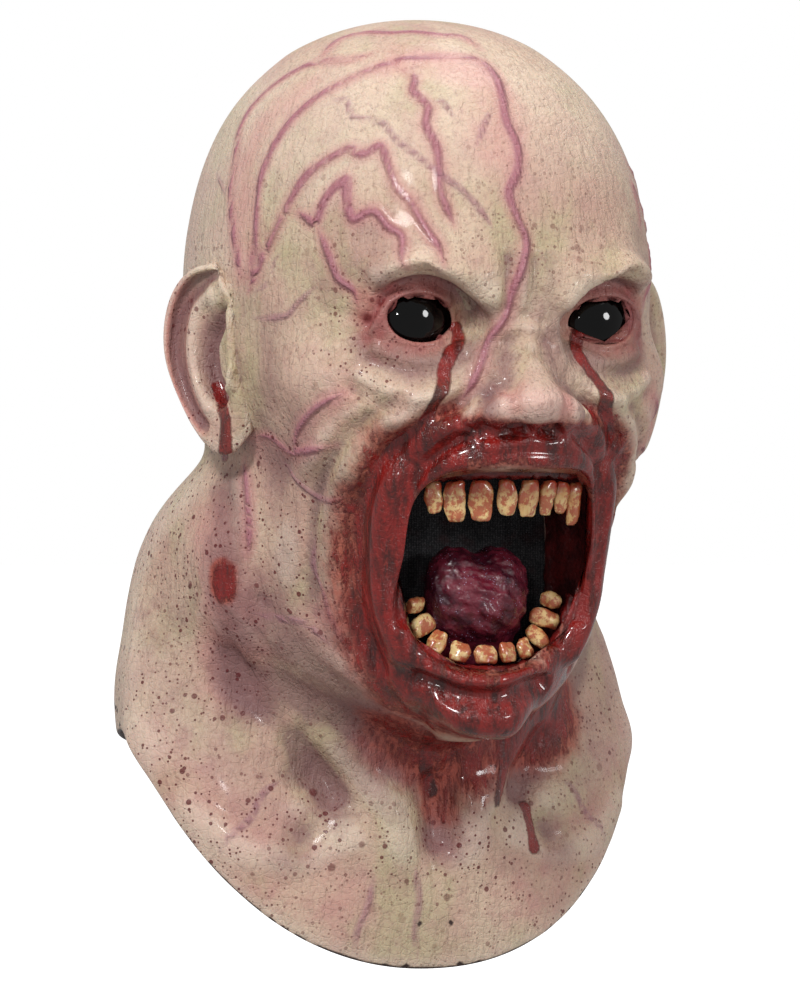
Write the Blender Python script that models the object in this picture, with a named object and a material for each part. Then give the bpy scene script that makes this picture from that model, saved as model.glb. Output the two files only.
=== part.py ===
"""A full-head zombie mask: a latex skin with ears, neck and bib, glass-like eyes, and a mouth set behind the lips.

Metres, +Z up. The face looks along -Y and the wearer's left is +X. The origin is the inside of the crown,
where the top of the wearer's head carries the mask.
"""

import math
from collections import namedtuple

import bmesh
import bpy
import numpy as np
from mathutils import Matrix, Vector

# Overall form
HEAD_HALF_WIDTH = 0.090
HEAD_HALF_LENGTH = 0.109
CROWN_TO_CHIN = 0.287
BIB_HALF_WIDTH = 0.109
HEM_FRONT_DROP = 0.3795
HEM_SIDE_DROP = 0.283
HEM_BACK_DROP = 0.300
BACK_REACH = 0.124
SKIN_THICKNESS = 0.0025

# Eyes
EYE_SPACING = 0.078
EYE_DROP = 0.1225
EYE_RADIUS = 0.0200
EYE_FORWARD_SHARE = 0.8165
EYE_OPENING_WIDTH = 0.0290
EYE_OPENING_HEIGHT = 0.0195
LENS_THICKNESS = 0.0016

# Mouth
MOUTH_WIDTH = 0.080
MOUTH_HEIGHT = 0.082
MOUTH_DROP = 0.2185
LINING_THICKNESS = 0.0018
MOUTH_DEPTH = 0.069
SCREEN_THICKNESS = 0.0012
TONGUE_WIDTH_SHARE = 0.54375
TONGUE_HEIGHT = 0.039
TONGUE_LENGTH = 0.029
GUM_HEIGHT = 0.0068
GUM_DEPTH = 0.0090
UPPER_TOOTH_HEIGHT = 0.0152
LOWER_TOOTH_HEIGHT = 0.0098
TOOTH_THICKNESS = 0.0052

# Ears
EAR_HEIGHT = 0.078
EAR_WIDTH = 0.040
EAR_DROP = 0.137
EAR_BACK = -0.006
EAR_FLARE_RIGHT = 24.0
EAR_FLARE_LEFT = 44.0
EAR_LEAN = 4.0

# Gap between pieces that touch
SEAT_GAP = 0.0003

# Mesh density: columns on each side of the face, of the cheek and of the back
FACE_COLUMNS = 9
CHEEK_COLUMNS = 7
BACK_COLUMNS = 6
CAP_RING = 2

# The tables below are in these units, which are one millimetre at the sizes above.
ACROSS = HEAD_HALF_WIDTH / 90
ALONG = HEAD_HALF_LENGTH / 109
DOWN = CROWN_TO_CHIN / 287
CROWN_Z = SKIN_THICKNESS


def spot(across, forward, drop):
    """A point of the head, from the table units: off the middle, ahead of the axis, below the crown."""
    return np.array([across * ACROSS, -forward * ALONG, CROWN_Z - drop * DOWN])


# Rings of the head and neck, from the crown down. Each passes a front, a side and a back point.
Ring = namedtuple("Ring", "front front_drop side side_back side_drop back back_drop square rows")
HEAD_RINGS = [
    Ring(-6, 0, 0, 6, 0, 6, 0, 2.0, 0),
    Ring(24, 3.6, 27, 6, 3.6, 32, 4.0, 2.0, 0),
    Ring(53, 14, 51, 8, 15, 59, 13.5, 2.0, 0),
    Ring(78, 33, 70, 9, 34, 85, 34, 2.05, 2),
    Ring(94, 56, 81, 10, 57, 102, 60, 2.15, 2),
    Ring(102, 80, 87, 11, 82, 108, 86, 2.2, 2),
    Ring(105, 102, 89, 12, 104, 109, 110, 2.3, 3),
    Ring(100, 124, 88, 13, 124, 106, 132, 2.35, 3),
    Ring(99, 148, 86, 15, 146, 98, 148, 2.35, 3),
    Ring(100, 170, 82, 18, 162, 90, 163, 2.25, 3),
    Ring(95, 192, 78, 24, 173, 89, 174, 2.05, 2),
    Ring(91, 216, 82, 31, 182, 101, 182, 1.9, 2),
    Ring(84, 240, 88, 38, 191, 110, 191, 1.75, 2),
    Ring(77, 262, 93, 46, 201, 115, 201, 1.62, 2),
    Ring(70, 278, 96, 54, 212, 118, 212, 1.55, 2),
    Ring(48, 287, 98, 59, 223, 120, 223, 1.6, 1),
    Ring(20, 286, 101, 57, 234, 121, 234, 1.75, 1),
    Ring(10, 299, 104, 52, 245, 122, 245, 1.9, 1),
]
# Rings of the bib, as shares of the way to the hem: 0 is the neck's last ring and 1 is the hem.
BibRing = namedtuple("BibRing", "front front_fall side side_fall back back_fall square rows")
BIB_RINGS = [
    BibRing(0.20, 0.25, 0.50, 0.25, 0.6, 0.25, 2.0, 2),
    BibRing(0.75, 0.47, 0.90, 0.47, 0.95, 0.47, 2.05, 2),
    BibRing(1.05, 0.73, 1.12, 0.73, 1.05, 0.73, 2.1, 2),
    BibRing(0.65, 1.0, 1.0, 1.0, 1.0, 1.0, 2.15, 2),
]
HEM_FRONT_FORWARD = 0.016
HEM_SIDE_BACK = 0.043
HEM_SAG = 1.18

# Sculpted features. A bump is an ellipsoid of influence, and a fold runs between two points.
# "out" pushes off the head, "up" lifts, "aside" moves away from the middle; "both" mirrors to the other side.
Bump = namedtuple("Bump", "name across forward drop wide deep high out up aside both")
BUMPS = [
    Bump("inner brow", 17, 104, 107, 17, 30, 12, 5.0, -3.0, 0, True),
    Bump("outer brow", 42, 92, 104, 28, 34, 13, 6.5, 0, 0, True),
    Bump("eye socket", 38, 92, 122, 25, 34, 16, -8.0, 0, 0, True),
    Bump("temple hollow", 80, 45, 100, 24, 34, 30, -3.0, 0, 0, True),
    Bump("nose tip", 0, 100, 156, 22, 34, 17, 11.0, 0, 0, False),
    Bump("nostril wing", 17, 100, 160, 15, 28, 13, 9.5, 0, 2.0, True),
    Bump("cheekbone", 66, 62, 146, 28, 38, 24, 9.5, 0, 0, True),
    Bump("stretched cheek", 60, 60, 174, 24, 36, 26, 8.0, 0, 0, True),
    Bump("cheek apple", 44, 86, 156, 22, 28, 16, 7.0, 0, 0, True),
    Bump("sunken cheek", 76, 26, 190, 18, 30, 26, -3.5, 0, 0, True),
    Bump("upper lip", 0, 98, 176, 40, 30, 12, 2.0, 0, 0, False),
    Bump("chin", 0, 66, 278, 38, 40, 18, 5.5, 0, 0, False),
    Bump("throat hollow", 0, 10, 322, 16, 22, 18, -7.0, 0, 0, False),
    Bump("larynx", 0, 12, 300, 11, 20, 12, 4.0, 0, 0, False),
    Bump("collar hollow", 46, -2, 304, 26, 26, 14, -6.0, 0, 0, True),
    Bump("nape", 0, -92, 176, 44, 24, 18, -3.5, 0, 0, False),
    Bump("wound swelling", -76, -22, 226, 18, 18, 30, 5.0, 0, 0, False),
]
Fold = namedtuple("Fold", "name start end radius start_out end_out both")
FOLDS = [
    Fold("nose bridge", (0, 100, 112), (0, 100, 152), 12, 2.0, 12.5, False),
    Fold("frown", (6, 106, 90), (7, 104, 112), 5, -1.0, -2.5, True),
    Fold("cheek line upper", (21, 100, 160), (44, 86, 180), 6, -3.0, -3.5, True),
    Fold("cheek line lower", (44, 86, 180), (54, 66, 222), 7, -3.5, -2.5, True),
    Fold("mouth bracket", (50, 78, 190), (42, 62, 252), 9, 4.0, 3.0, True),
    Fold("eye bag", (26, 92, 138), (50, 84, 136), 6, 2.0, 3.0, True),
    Fold("jaw edge", (74, 4, 240), (30, 62, 273), 10, 4.0, 5.0, True),
    Fold("under the jaw", (70, -16, 262), (22, 26, 290), 9, -4.0, -5.0, True),
    Fold("neck cord", (76, -14, 210), (12, 12, 320), 10, 5.0, 7.0, True),
    Fold("collar bone", (14, 8, 332), (98, -38, 290), 10, 6.0, 4.5, True),
]

# Rings round the eye and mouth openings: distance outside the edge and how far it stands out.
EdgeRing = namedtuple("EdgeRing", "margin out hold")
EYE_RINGS = [
    EdgeRing(10.0, 0.0, 0.0),
    EdgeRing(5.5, 0.6, 0.7),
    EdgeRing(2.4, 0.8, 1.0),
    EdgeRing(0.0, 0.2, 1.0),
]
MOUTH_RINGS = [
    EdgeRing(13.0, 0.5, 0),
    EdgeRing(8.5, 2.6, 0),
    EdgeRing(4.5, 4.6, 0),
    EdgeRing(1.5, 3.6, 0),
    EdgeRing(0.0, 0.6, 0),
    EdgeRing(0.4, -3.2, 0),
]

# The ear's outline seen from the side: back and up from its centre, as shares of its width and height.
EAR_OUTLINE = [
    (-0.28, 0.00), (-0.28, 0.20), (-0.16, 0.40), (0.14, 0.50), (0.47, 0.43), (0.66, 0.26),
    (0.70, 0.05), (0.58, -0.15), (0.38, -0.35), (0.10, -0.50), (-0.17, -0.44), (-0.28, -0.24),
]
# The ear's rings, from the head out over the back to the rim, then over the front into the bowl.
# Each has a share of the outline and a rise in front, on top, behind and below.
EarRing = namedtuple("EarRing", "front top back below front_rise top_rise back_rise below_rise")
EAR_RINGS = [
    EarRing(1.00, 0.72, 0.60, 0.70, 0.0, 0.0, 0.0, 0.0),
    EarRing(1.00, 0.92, 0.92, 0.92, 0.8, -5.5, -6.0, -4.0),
    EarRing(1.00, 1.00, 1.00, 1.00, 1.8, -3.0, -3.0, -1.0),
    EarRing(0.96, 0.95, 0.95, 0.95, 3.2, 1.6, 1.6, 1.8),
    EarRing(0.84, 0.84, 0.86, 0.84, 4.0, 1.0, 1.2, 2.4),
    EarRing(0.70, 0.76, 0.78, 0.68, 3.0, -3.5, -4.5, 2.2),
    EarRing(0.60, 0.60, 0.60, 0.52, 1.0, -2.5, -0.5, 1.2),
    EarRing(0.50, 0.44, 0.46, 0.38, -3.0, -4.0, -3.0, -3.0),
    EarRing(0.25, 0.22, 0.22, 0.20, -4.5, -9.0, -9.0, -5.0),
]
EAR_BOWL_RISE = 5.0

# Teeth, from the wearer's right to left: place along the gum, width in the table units, share of the height.
Tooth = namedtuple("Tooth", "place width tall")
UPPER_TEETH = [
    Tooth(-0.83, 6.6, 0.80),
    Tooth(-0.61, 8.4, 1.02),
    Tooth(-0.35, 9.2, 1.05),
    Tooth(-0.085, 7.4, 0.90),
    Tooth(0.205, 10.4, 0.92),
    Tooth(0.49, 8.2, 0.88),
    Tooth(0.71, 6.6, 0.80),
    Tooth(0.91, 6.8, 1.10),
]
LOWER_TEETH = [
    Tooth(-0.91, 6.0, 0.85),
    Tooth(-0.70, 8.0, 1.05),
    Tooth(-0.48, 7.4, 0.90),
    Tooth(-0.28, 7.6, 0.78),
    Tooth(-0.07, 8.8, 0.72),
    Tooth(0.15, 7.4, 0.82),
    Tooth(0.36, 7.6, 0.74),
    Tooth(0.555, 6.4, 0.92),
    Tooth(0.765, 7.2, 1.05),
    Tooth(0.94, 6.2, 0.75),
]
TOOTH_UNIT = MOUTH_WIDTH / 76
TOOTH_SEGMENTS = 8
GUM_SEGMENTS = 8
# Share of a tooth's height, of its width and of its thickness, from the root to the tip.
TOOTH_SHAPE = [(0, 0.76, 0.92), (0.3, 1.0, 1.0), (0.8, 0.94, 0.66), (1, 0.60, 0.34)]


def clear_scene():
    for obj in list(bpy.data.objects):
        bpy.data.objects.remove(obj, do_unlink=True)


def material(name, colour, roughness, metallic=0.0):
    made = bpy.data.materials.new(name)
    made.use_nodes = True
    shader = made.node_tree.nodes["Principled BSDF"]
    shader.inputs["Base Color"].default_value = (*colour, 1)
    shader.inputs["Roughness"].default_value = roughness
    shader.inputs["Metallic"].default_value = metallic
    return made


def add_object(name, points, faces, finish):
    """A named object from points and faces, with its normals facing out."""
    mesh = bpy.data.meshes.new(name)
    mesh.from_pydata([tuple(p) for p in points], [], [tuple(f) for f in faces])
    mesh.update()
    shell = bmesh.new()
    shell.from_mesh(mesh)
    bmesh.ops.recalc_face_normals(shell, faces=shell.faces)
    shell.to_mesh(mesh)
    shell.free()
    mesh.materials.append(finish)
    mesh.shade_smooth()
    mesh.set_sharp_from_angle(angle=math.radians(50))
    obj = bpy.data.objects.new(name, mesh)
    bpy.context.scene.collection.objects.link(obj)
    return obj


def spline(values, at):
    """Catmull-Rom through the rows of values, read at fractional row numbers."""
    values = np.asarray(values, float)
    last = len(values) - 1
    low = np.clip(np.floor(at).astype(int), 0, last - 1)
    part = (at - low)[:, None]
    p0, p1 = values[np.maximum(low - 1, 0)], values[low]
    p2, p3 = values[low + 1], values[np.minimum(low + 2, last)]
    return 0.5 * (
        2 * p1
        + (p2 - p0) * part
        + (2 * p0 - 5 * p1 + 4 * p2 - p3) * part**2
        + (3 * p1 - p0 - 3 * p2 + p3) * part**3
    )


def closed_spline(values, at):
    """Catmull-Rom round a closed row of values, read at turns from 0 to 1."""
    values = np.asarray(values, float)
    count = len(values)
    at = np.mod(at, 1.0) * count
    low = np.floor(at).astype(int)
    part = (at - low)[:, None]
    p0, p1, p2, p3 = (values[(low + k) % count] for k in (-1, 0, 1, 2))
    return 0.5 * (
        2 * p1
        + (p2 - p0) * part
        + (2 * p0 - 5 * p1 + 4 * p2 - p3) * part**2
        + (3 * p1 - p0 - 3 * p2 + p3) * part**3
    )


def ring_rows():
    """Each ring in metres: front y, z; side x, y, z; back y, z; squareness; sag."""
    rows = []
    for r in HEAD_RINGS:
        rows.append([
            -r.front * ALONG, -r.front_drop * DOWN, r.side * ACROSS, r.side_back * ALONG,
            -r.side_drop * DOWN, r.back * ALONG, -r.back_drop * DOWN, r.square, 2.0,
        ])
    neck = rows[-1]
    hem = [
        -HEM_FRONT_FORWARD, -HEM_FRONT_DROP, BIB_HALF_WIDTH, HEM_SIDE_BACK,
        -HEM_SIDE_DROP, BACK_REACH, -HEM_BACK_DROP,
    ]
    for r in BIB_RINGS:
        shares = [r.front, r.front_fall, r.side, r.side_fall, r.side_fall, r.back, r.back_fall]
        row = [n + (h - n) * s for n, h, s in zip(neck, hem, shares)]
        rows.append([*row, r.square, 2.0 + (HEM_SAG - 2.0) * r.side_fall])
    # A mirrored ring past the crown keeps the dome round at its top.
    top = list(rows[1])
    top[0], top[5] = rows[1][5], rows[1][0]
    top[2] = -rows[1][2]
    return [top, *rows]


RING_ROWS = ring_rows()
LAST_RING = len(RING_ROWS) - 2


def base_surface(turn, ring):
    """Points of the plain head: turn is the angle from the front, ring counts from the crown."""
    rows = spline(RING_ROWS, np.asarray(ring, float) + 1)
    front_y, front_z, side_x, side_y, side_z, back_y, back_z, square, sag = rows.T
    c, s = np.cos(turn), np.sin(turn)
    ahead = c >= 0
    power = np.where(ahead, 2 / np.maximum(square, 1.2), 2 / 2.1)
    end_y = np.where(ahead, front_y, back_y)
    end_z = np.where(ahead, front_z, back_z)
    x = side_x * np.sign(s) * np.abs(s) ** power
    y = side_y + (end_y - side_y) * np.abs(c) ** power
    z = side_z + (end_z - side_z) * np.abs(c) ** sag
    return np.stack([x, y, CROWN_Z + z], axis=1)


def base_normal(turn, ring, step=0.02):
    """Outward direction of the plain head."""
    along = base_surface(turn + step, ring) - base_surface(turn - step, ring)
    down = base_surface(turn, ring + step) - base_surface(turn, ring - step)
    normal = np.cross(down, along)
    return normal / np.maximum(np.linalg.norm(normal, axis=1, keepdims=True), 1e-12)


def influence(distance):
    """1 at the middle and 0 from distance 1 on, with smooth ends."""
    inside = np.clip(1 - distance**2, 0, 1)
    return inside**2


def plain_samples():
    """A fine net of points on the plain head, on which the features' centres are laid."""
    turn, ring = np.meshgrid(np.linspace(-math.pi, math.pi, 241), np.linspace(1, LAST_RING, 191))
    return base_surface(turn.ravel(), ring.ravel())


PLAIN = plain_samples()


def laid(across, forward, drop):
    """The point of the plain head nearest to a spot."""
    wanted = spot(across, forward, drop)
    return PLAIN[np.argmin(np.linalg.norm(PLAIN - wanted, axis=1))]


def placed_features():
    """Centres of all bumps and ends of all folds on the plain head, both sides of the mirrored ones."""
    bumps, folds = [], []
    for b in BUMPS:
        for side in (1, -1) if b.both else (1,):
            size = np.array([b.wide * ACROSS, b.deep * ALONG, b.high * DOWN])
            move = np.array([b.aside * ACROSS * side, 0, b.up * DOWN])
            bumps.append((laid(b.across * side, b.forward, b.drop), size, b.out * ALONG, move))
    for f in FOLDS:
        for side in (1, -1) if f.both else (1,):
            a = laid(f.start[0] * side, f.start[1], f.start[2])
            b = laid(f.end[0] * side, f.end[1], f.end[2])
            folds.append((a, b, f.radius * 1.6 * ALONG, f.start_out * ALONG, f.end_out * ALONG))
    return bumps, folds


PLACED_BUMPS, PLACED_FOLDS = placed_features()


def sculpted(turn, ring):
    """Points of the head with every bump and fold on it."""
    turn = np.asarray(turn, float)
    ring = np.clip(np.asarray(ring, float), 0, LAST_RING)
    base = base_surface(turn, ring)
    normal = base_normal(turn, ring)
    push = np.zeros_like(base)
    for centre, size, out, move in PLACED_BUMPS:
        weight = influence(np.linalg.norm((base - centre) / size, axis=1))[:, None]
        push += weight * (normal * out + move)
    for a, b, radius, start_out, end_out in PLACED_FOLDS:
        share = np.clip((base - a) @ (b - a) / ((b - a) @ (b - a)), 0, 1)
        nearest = a + share[:, None] * (b - a)
        away = np.linalg.norm(base - nearest, axis=1) / radius
        out = start_out + (end_out - start_out) * share
        push += (influence(away) * out)[:, None] * normal
    return base + push


def find(target_a, target_b, axes, turn, ring):
    """Turn and ring of the sculpted surface where two of its coordinates have these values."""
    turn = np.broadcast_to(np.asarray(turn, float), target_a.shape).copy()
    ring = np.broadcast_to(np.asarray(ring, float), target_a.shape).copy()
    step = 0.01
    for _ in range(14):
        here = sculpted(turn, ring)[:, axes]
        by_turn = (sculpted(turn + step, ring)[:, axes] - here) / step
        by_ring = (sculpted(turn, ring + step)[:, axes] - here) / step
        miss = np.stack([target_a, target_b], axis=1) - here
        det = by_turn[:, 0] * by_ring[:, 1] - by_turn[:, 1] * by_ring[:, 0]
        det = np.where(np.abs(det) < 1e-9, 1e-9, det)
        d_turn = (miss[:, 0] * by_ring[:, 1] - miss[:, 1] * by_ring[:, 0]) / det
        d_ring = (by_turn[:, 0] * miss[:, 1] - by_turn[:, 1] * miss[:, 0]) / det
        turn += np.clip(d_turn, -0.12, 0.12)
        ring = np.clip(ring + np.clip(d_ring, -0.5, 0.5), 0.5, LAST_RING)
    return turn, ring


def grid_lines():
    """Turns of the columns, and ring numbers of the rows."""
    face = np.linspace(0, math.radians(38), FACE_COLUMNS + 1)
    cheek = np.linspace(math.radians(38), math.pi / 2, CHEEK_COLUMNS + 1)[1:]
    back = np.linspace(math.pi / 2, math.pi, BACK_COLUMNS + 1)[1:]
    half = np.concatenate([face, cheek])
    columns = np.concatenate([-half[:0:-1], half, back, 2 * math.pi - back[-2::-1]])
    rows = [float(CAP_RING)]
    for number, ring in enumerate([*HEAD_RINGS, *BIB_RINGS]):
        rows += [number - 1 + k / ring.rows for k in range(1, ring.rows + 1)]
    return columns, np.array(rows)


class SkinMesh:
    """The outer face of the skin: a grid round the head, with rings set into it round each opening."""

    def __init__(self):
        self.columns, self.rows = grid_lines()
        self.points, self.faces = [], []
        self.index = {}
        self.cut = set()

    def add(self, points):
        first = len(self.points)
        self.points += [np.asarray(p, float) for p in points]
        return list(range(first, len(self.points)))

    def grid_vertex(self, column, row):
        column %= len(self.columns)
        if (column, row) not in self.index:
            place = sculpted([self.columns[column]], [self.rows[row]])
            self.index[column, row] = self.add(place)[0]
        return self.index[column, row]

    def block_round(self, turn, ring, margin=1):
        """Grid columns and rows that hold these places, with a cell to spare, and the boundary's corners."""
        spread = self.columns[: 2 * (FACE_COLUMNS + CHEEK_COLUMNS) + 1]
        if turn.mean() > math.radians(70):
            spread = self.columns[: len(self.columns) - 1]
        low_column = max(0, int(np.searchsorted(spread, turn.min())) - margin)
        high_column = int(np.searchsorted(spread, turn.max())) + margin - 1
        low_row = int(np.searchsorted(self.rows, ring.min())) - margin
        high_row = int(np.searchsorted(self.rows, ring.max())) + margin - 1
        return low_column, high_column, low_row, high_row

    def boundary(self, block):
        """Grid places round a block, from its front-top corner on, once round."""
        c0, c1, r0, r1 = block
        way = [(c, r0) for c in range(c0, c1)] + [(c1, r) for r in range(r0, r1)]
        way += [(c, r1) for c in range(c1, c0, -1)] + [(c0, r) for r in range(r1, r0, -1)]
        for c in range(c0, c1):
            self.cut |= {(c % len(self.columns), r) for r in range(r0, r1)}
        return way

    def bridge(self, outer, inner):
        for k in range(len(outer)):
            m = (k + 1) % len(outer)
            self.faces.append((outer[k], inner[k], inner[m], outer[m]))

    def fill_grid(self):
        for row in range(len(self.rows) - 1):
            for column in range(len(self.columns)):
                if (column, row) in self.cut:
                    continue
                self.faces.append((
                    self.grid_vertex(column, row),
                    self.grid_vertex(column, row + 1),
                    self.grid_vertex(column + 1, row + 1),
                    self.grid_vertex(column + 1, row),
                ))

    def fill_cap(self):
        """A square patch of quads over the crown, so that no pole shows there."""
        count = len(self.columns)
        side = count // 4
        disc = np.stack([np.cos(self.columns), np.sin(self.columns)], axis=1)
        edge = [disc[np.arange(k * side, (k + 1) * side + 1) % count] for k in range(4)]
        south, east, north, west = edge[0], edge[1], edge[2][::-1], edge[3][::-1]
        name = {}
        for i in range(side + 1):
            for j in range(side + 1):
                u, v = i / side, j / side
                if j == 0:
                    name[i, j] = self.grid_vertex(i, 0)
                elif i == side:
                    name[i, j] = self.grid_vertex(side + j, 0)
                elif j == side:
                    name[i, j] = self.grid_vertex(3 * side - i, 0)
                elif i == 0:
                    name[i, j] = self.grid_vertex(4 * side - j, 0)
                else:
                    corners = (
                        (1 - u) * (1 - v) * south[0] + u * (1 - v) * south[-1]
                        + (1 - u) * v * north[0] + u * v * north[-1]
                    )
                    p = (1 - v) * south[i] + v * north[i] + (1 - u) * west[j] + u * east[j] - corners
                    reach = min(1.0, math.hypot(*p)) * CAP_RING
                    place = sculpted([math.atan2(p[1], p[0])], [reach])
                    name[i, j] = self.add(place)[0]
        for i in range(side):
            for j in range(side):
                self.faces.append((name[i, j], name[i + 1, j], name[i + 1, j + 1], name[i, j + 1]))


def even_bearings(outline, count, start):
    """Bearings that space points evenly round a closed outline, from the one nearest to a start point."""
    fine = np.linspace(0, 2 * math.pi, 721)
    flat = np.stack(outline(fine), axis=1)
    length = np.concatenate([[0], np.cumsum(np.linalg.norm(np.diff(flat, axis=0), axis=1))])
    first = length[np.argmin(np.linalg.norm(flat[:-1] - start, axis=1))]
    steps = np.mod(first + np.arange(count) / count * length[-1], length[-1])
    return np.interp(steps, length, fine)


def way_points(skin, way, axes):
    """Two coordinates of the grid points round a block."""
    place = sculpted([skin.columns[c % len(skin.columns)] for c, _ in way], [skin.rows[r] for _, r in way])
    return place[:, axes]


def eye_outline(side, margin, bearing):
    """Edge of the eye opening seen from the front, grown by a margin. Bearing 0 is outward, 90 down."""
    half_width = EYE_OPENING_WIDTH / 2 * 0.95 + margin
    half_height = EYE_OPENING_HEIGHT / 2 + margin * 0.9
    c, s = np.cos(bearing), np.sin(bearing)
    across = half_width * np.sign(c) * np.abs(c) ** 0.93
    # The inner corner is drawn out and hangs a little.
    inner = np.clip(-c * side, 0, 1)
    across += -side * inner**6 * 0.0012
    down = half_height * np.sign(s) * np.abs(s) ** 1.0 + inner**4 * 0.0015
    return side * EYE_SPACING / 2 + across, CROWN_Z - EYE_DROP - down


def mouth_outline(margin, bearing):
    """Edge of the mouth opening seen from the front, grown by a margin. Bearing 0 is +X, 90 down."""
    c, s = np.cos(bearing), np.sin(bearing)
    half_width = MOUTH_WIDTH / 2 + margin
    half_height = MOUTH_HEIGHT / 2 + margin
    power = np.where(s < 0, 0.55, 0.80)
    down = half_height * np.sign(s) * np.abs(s) ** power
    narrowing = 1 - 0.10 * np.clip(s, 0, 1) - 0.02 * np.clip(-s, 0, 1)
    across = half_width * np.sign(c) * np.abs(c) ** power * narrowing
    # The upper lip dips at its middle.
    down += 0.0035 * np.clip(-s, 0, 1) ** 6
    return across, CROWN_Z - MOUTH_DROP - down


def eye_centre(side):
    return np.array([side * EYE_SPACING / 2, EYE_RADIUS - HEAD_HALF_LENGTH * EYE_FORWARD_SHARE, CROWN_Z - EYE_DROP])


def add_eye_opening(skin, side):
    """Lids that wrap the eye, set into the grid."""
    bearing = np.linspace(0, 2 * math.pi, 40, endpoint=False)
    x, z = eye_outline(side, EYE_RINGS[0].margin * 0.001, bearing)
    turn, ring = find(x, z, [0, 2], side * 0.38, 7.0)
    way = skin.boundary(skin.block_round(turn, ring))
    start = way_points(skin, way, [0, 2])[0]
    before = [skin.grid_vertex(c, r) for c, r in way]
    centre = eye_centre(side)
    lid = EYE_RADIUS + 2 * SEAT_GAP + SKIN_THICKNESS
    for row in EYE_RINGS:
        margin = row.margin * 0.001
        angle = even_bearings(lambda t: eye_outline(side, margin, t), len(way), start)
        x, z = eye_outline(side, margin, angle)
        turn, ring = find(x, z, [0, 2], side * 0.38, 7.0)
        place = sculpted(turn, ring)
        # The lid keeps its outline from the front, so only its depth follows the eye.
        flat = np.hypot(x - centre[0], z - centre[2])
        depth = np.sqrt(np.maximum((lid + row.out * 0.001) ** 2 - flat**2, (0.25 * lid) ** 2))
        held = np.stack([x, centre[1] - depth, z], axis=1)
        place = place * (1 - row.hold) + held * row.hold
        now = skin.add(place)
        skin.bridge(before, now)
        before = now


def lip_points(row, angle):
    """Points of one ring of the lips at these bearings."""
    x, z = mouth_outline(row.margin * 0.001, angle)
    turn, ring = find(x, z, [0, 2], 0.0, 11.0)
    ahead = np.array([0, -1, 0]) * 0.6 + base_normal(turn, ring) * 0.4
    return sculpted(turn, ring) + ahead * row.out * 0.001


def add_mouth_opening(skin):
    """Lips that roll over into the mouth, set into the grid."""
    bearing = np.linspace(0, 2 * math.pi, 72, endpoint=False)
    x, z = mouth_outline(MOUTH_RINGS[0].margin * 0.001, bearing)
    turn, ring = find(x, z, [0, 2], 0.0, 11.0)
    way = skin.boundary(skin.block_round(turn, ring))
    start = way_points(skin, way, [0, 2])[0]
    before = [skin.grid_vertex(c, r) for c, r in way]
    for row in MOUTH_RINGS:
        margin = row.margin * 0.001
        angle = even_bearings(lambda t: mouth_outline(margin, t), len(way), start)
        now = skin.add(lip_points(row, angle))
        skin.bridge(before, now)
        before = now


def around(values, angle):
    """Blend of front, top, back and below values at an angle from the front, by way of the top."""
    return closed_spline(np.array(values)[:, None], angle / (2 * math.pi))[:, 0]


def add_ear(skin, side, flare):
    """An ear drawn out of the head in rings: up its back, over the rim and into the bowl."""
    angle = np.linspace(0, 2 * math.pi, 40, endpoint=False)
    lean = math.radians(EAR_LEAN)
    centre_y, centre_z = EAR_BACK, CROWN_Z - EAR_DROP

    def outline(angle, share):
        flat = closed_spline(EAR_OUTLINE, angle / (2 * math.pi)) * np.array([EAR_WIDTH, EAR_HEIGHT])
        flat = flat * np.asarray(share)[:, None]
        y = flat[:, 0] * math.cos(lean) + flat[:, 1] * math.sin(lean)
        z = flat[:, 1] * math.cos(lean) - flat[:, 0] * math.sin(lean)
        return y, z, flat[:, 0]

    guess = side * math.radians(92)
    first = EAR_RINGS[0]
    share = around([first.front, first.top, first.back, first.below], angle)
    y, z, _ = outline(angle, share)
    turn, ring = find(centre_y + y, centre_z + z, [1, 2], guess, 7.5)
    way = skin.boundary(side_block(skin, np.mod(turn, 2 * math.pi), ring))
    corner = way_points(skin, way, [1, 2])
    backwards = side > 0
    if not backwards:
        way, corner = way[:1] + way[:0:-1], np.concatenate([corner[:1], corner[:0:-1]])
    before = [skin.grid_vertex(c, r) for c, r in way]
    slope = math.tan(math.radians(flare))
    for number, row in enumerate(EAR_RINGS):

        def edge(t):
            part = around([row.front, row.top, row.back, row.below], t)
            return outline(t, part)[:2]

        # The outline runs by way of the top, and the block from its front top corner to the back.
        angle = even_bearings(edge, len(way), corner[0] - [centre_y, centre_z])
        share = around([row.front, row.top, row.back, row.below], angle)
        rise = around([row.front_rise, row.top_rise, row.back_rise, row.below_rise], angle) * 0.001
        y, z, back = outline(angle, share)
        turn, ring = find(centre_y + y, centre_z + z, [1, 2], guess, 7.5)
        place = sculpted(turn, ring)
        if number:
            reach = np.maximum(0, back + 0.28 * EAR_WIDTH)
            plane = HEAD_HALF_WIDTH * 0.93 + reach * slope + 0.05 * z
            away = np.abs(place[:, 0])
            front_hold = np.clip(-(back / EAR_WIDTH) / 0.28, 0, 1) ** 2
            x = (plane + rise) * (1 - front_hold) + (away + rise) * front_hold
            x = np.maximum(x, away + 0.0006 * min(number, 3))
            place = np.stack([side * x, centre_y + y, centre_z + z], axis=1)
        now = skin.add(place)
        if backwards:
            skin.bridge(before, now)
        else:
            skin.bridge(now, before)
        before = now
    middle = skin.add([np.mean([skin.points[k] for k in before], axis=0)])[0]
    for k in range(len(before)):
        pair = (before[k], before[(k + 1) % len(before)])
        skin.faces.append((*(pair[::-1] if backwards else pair), middle))


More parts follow.
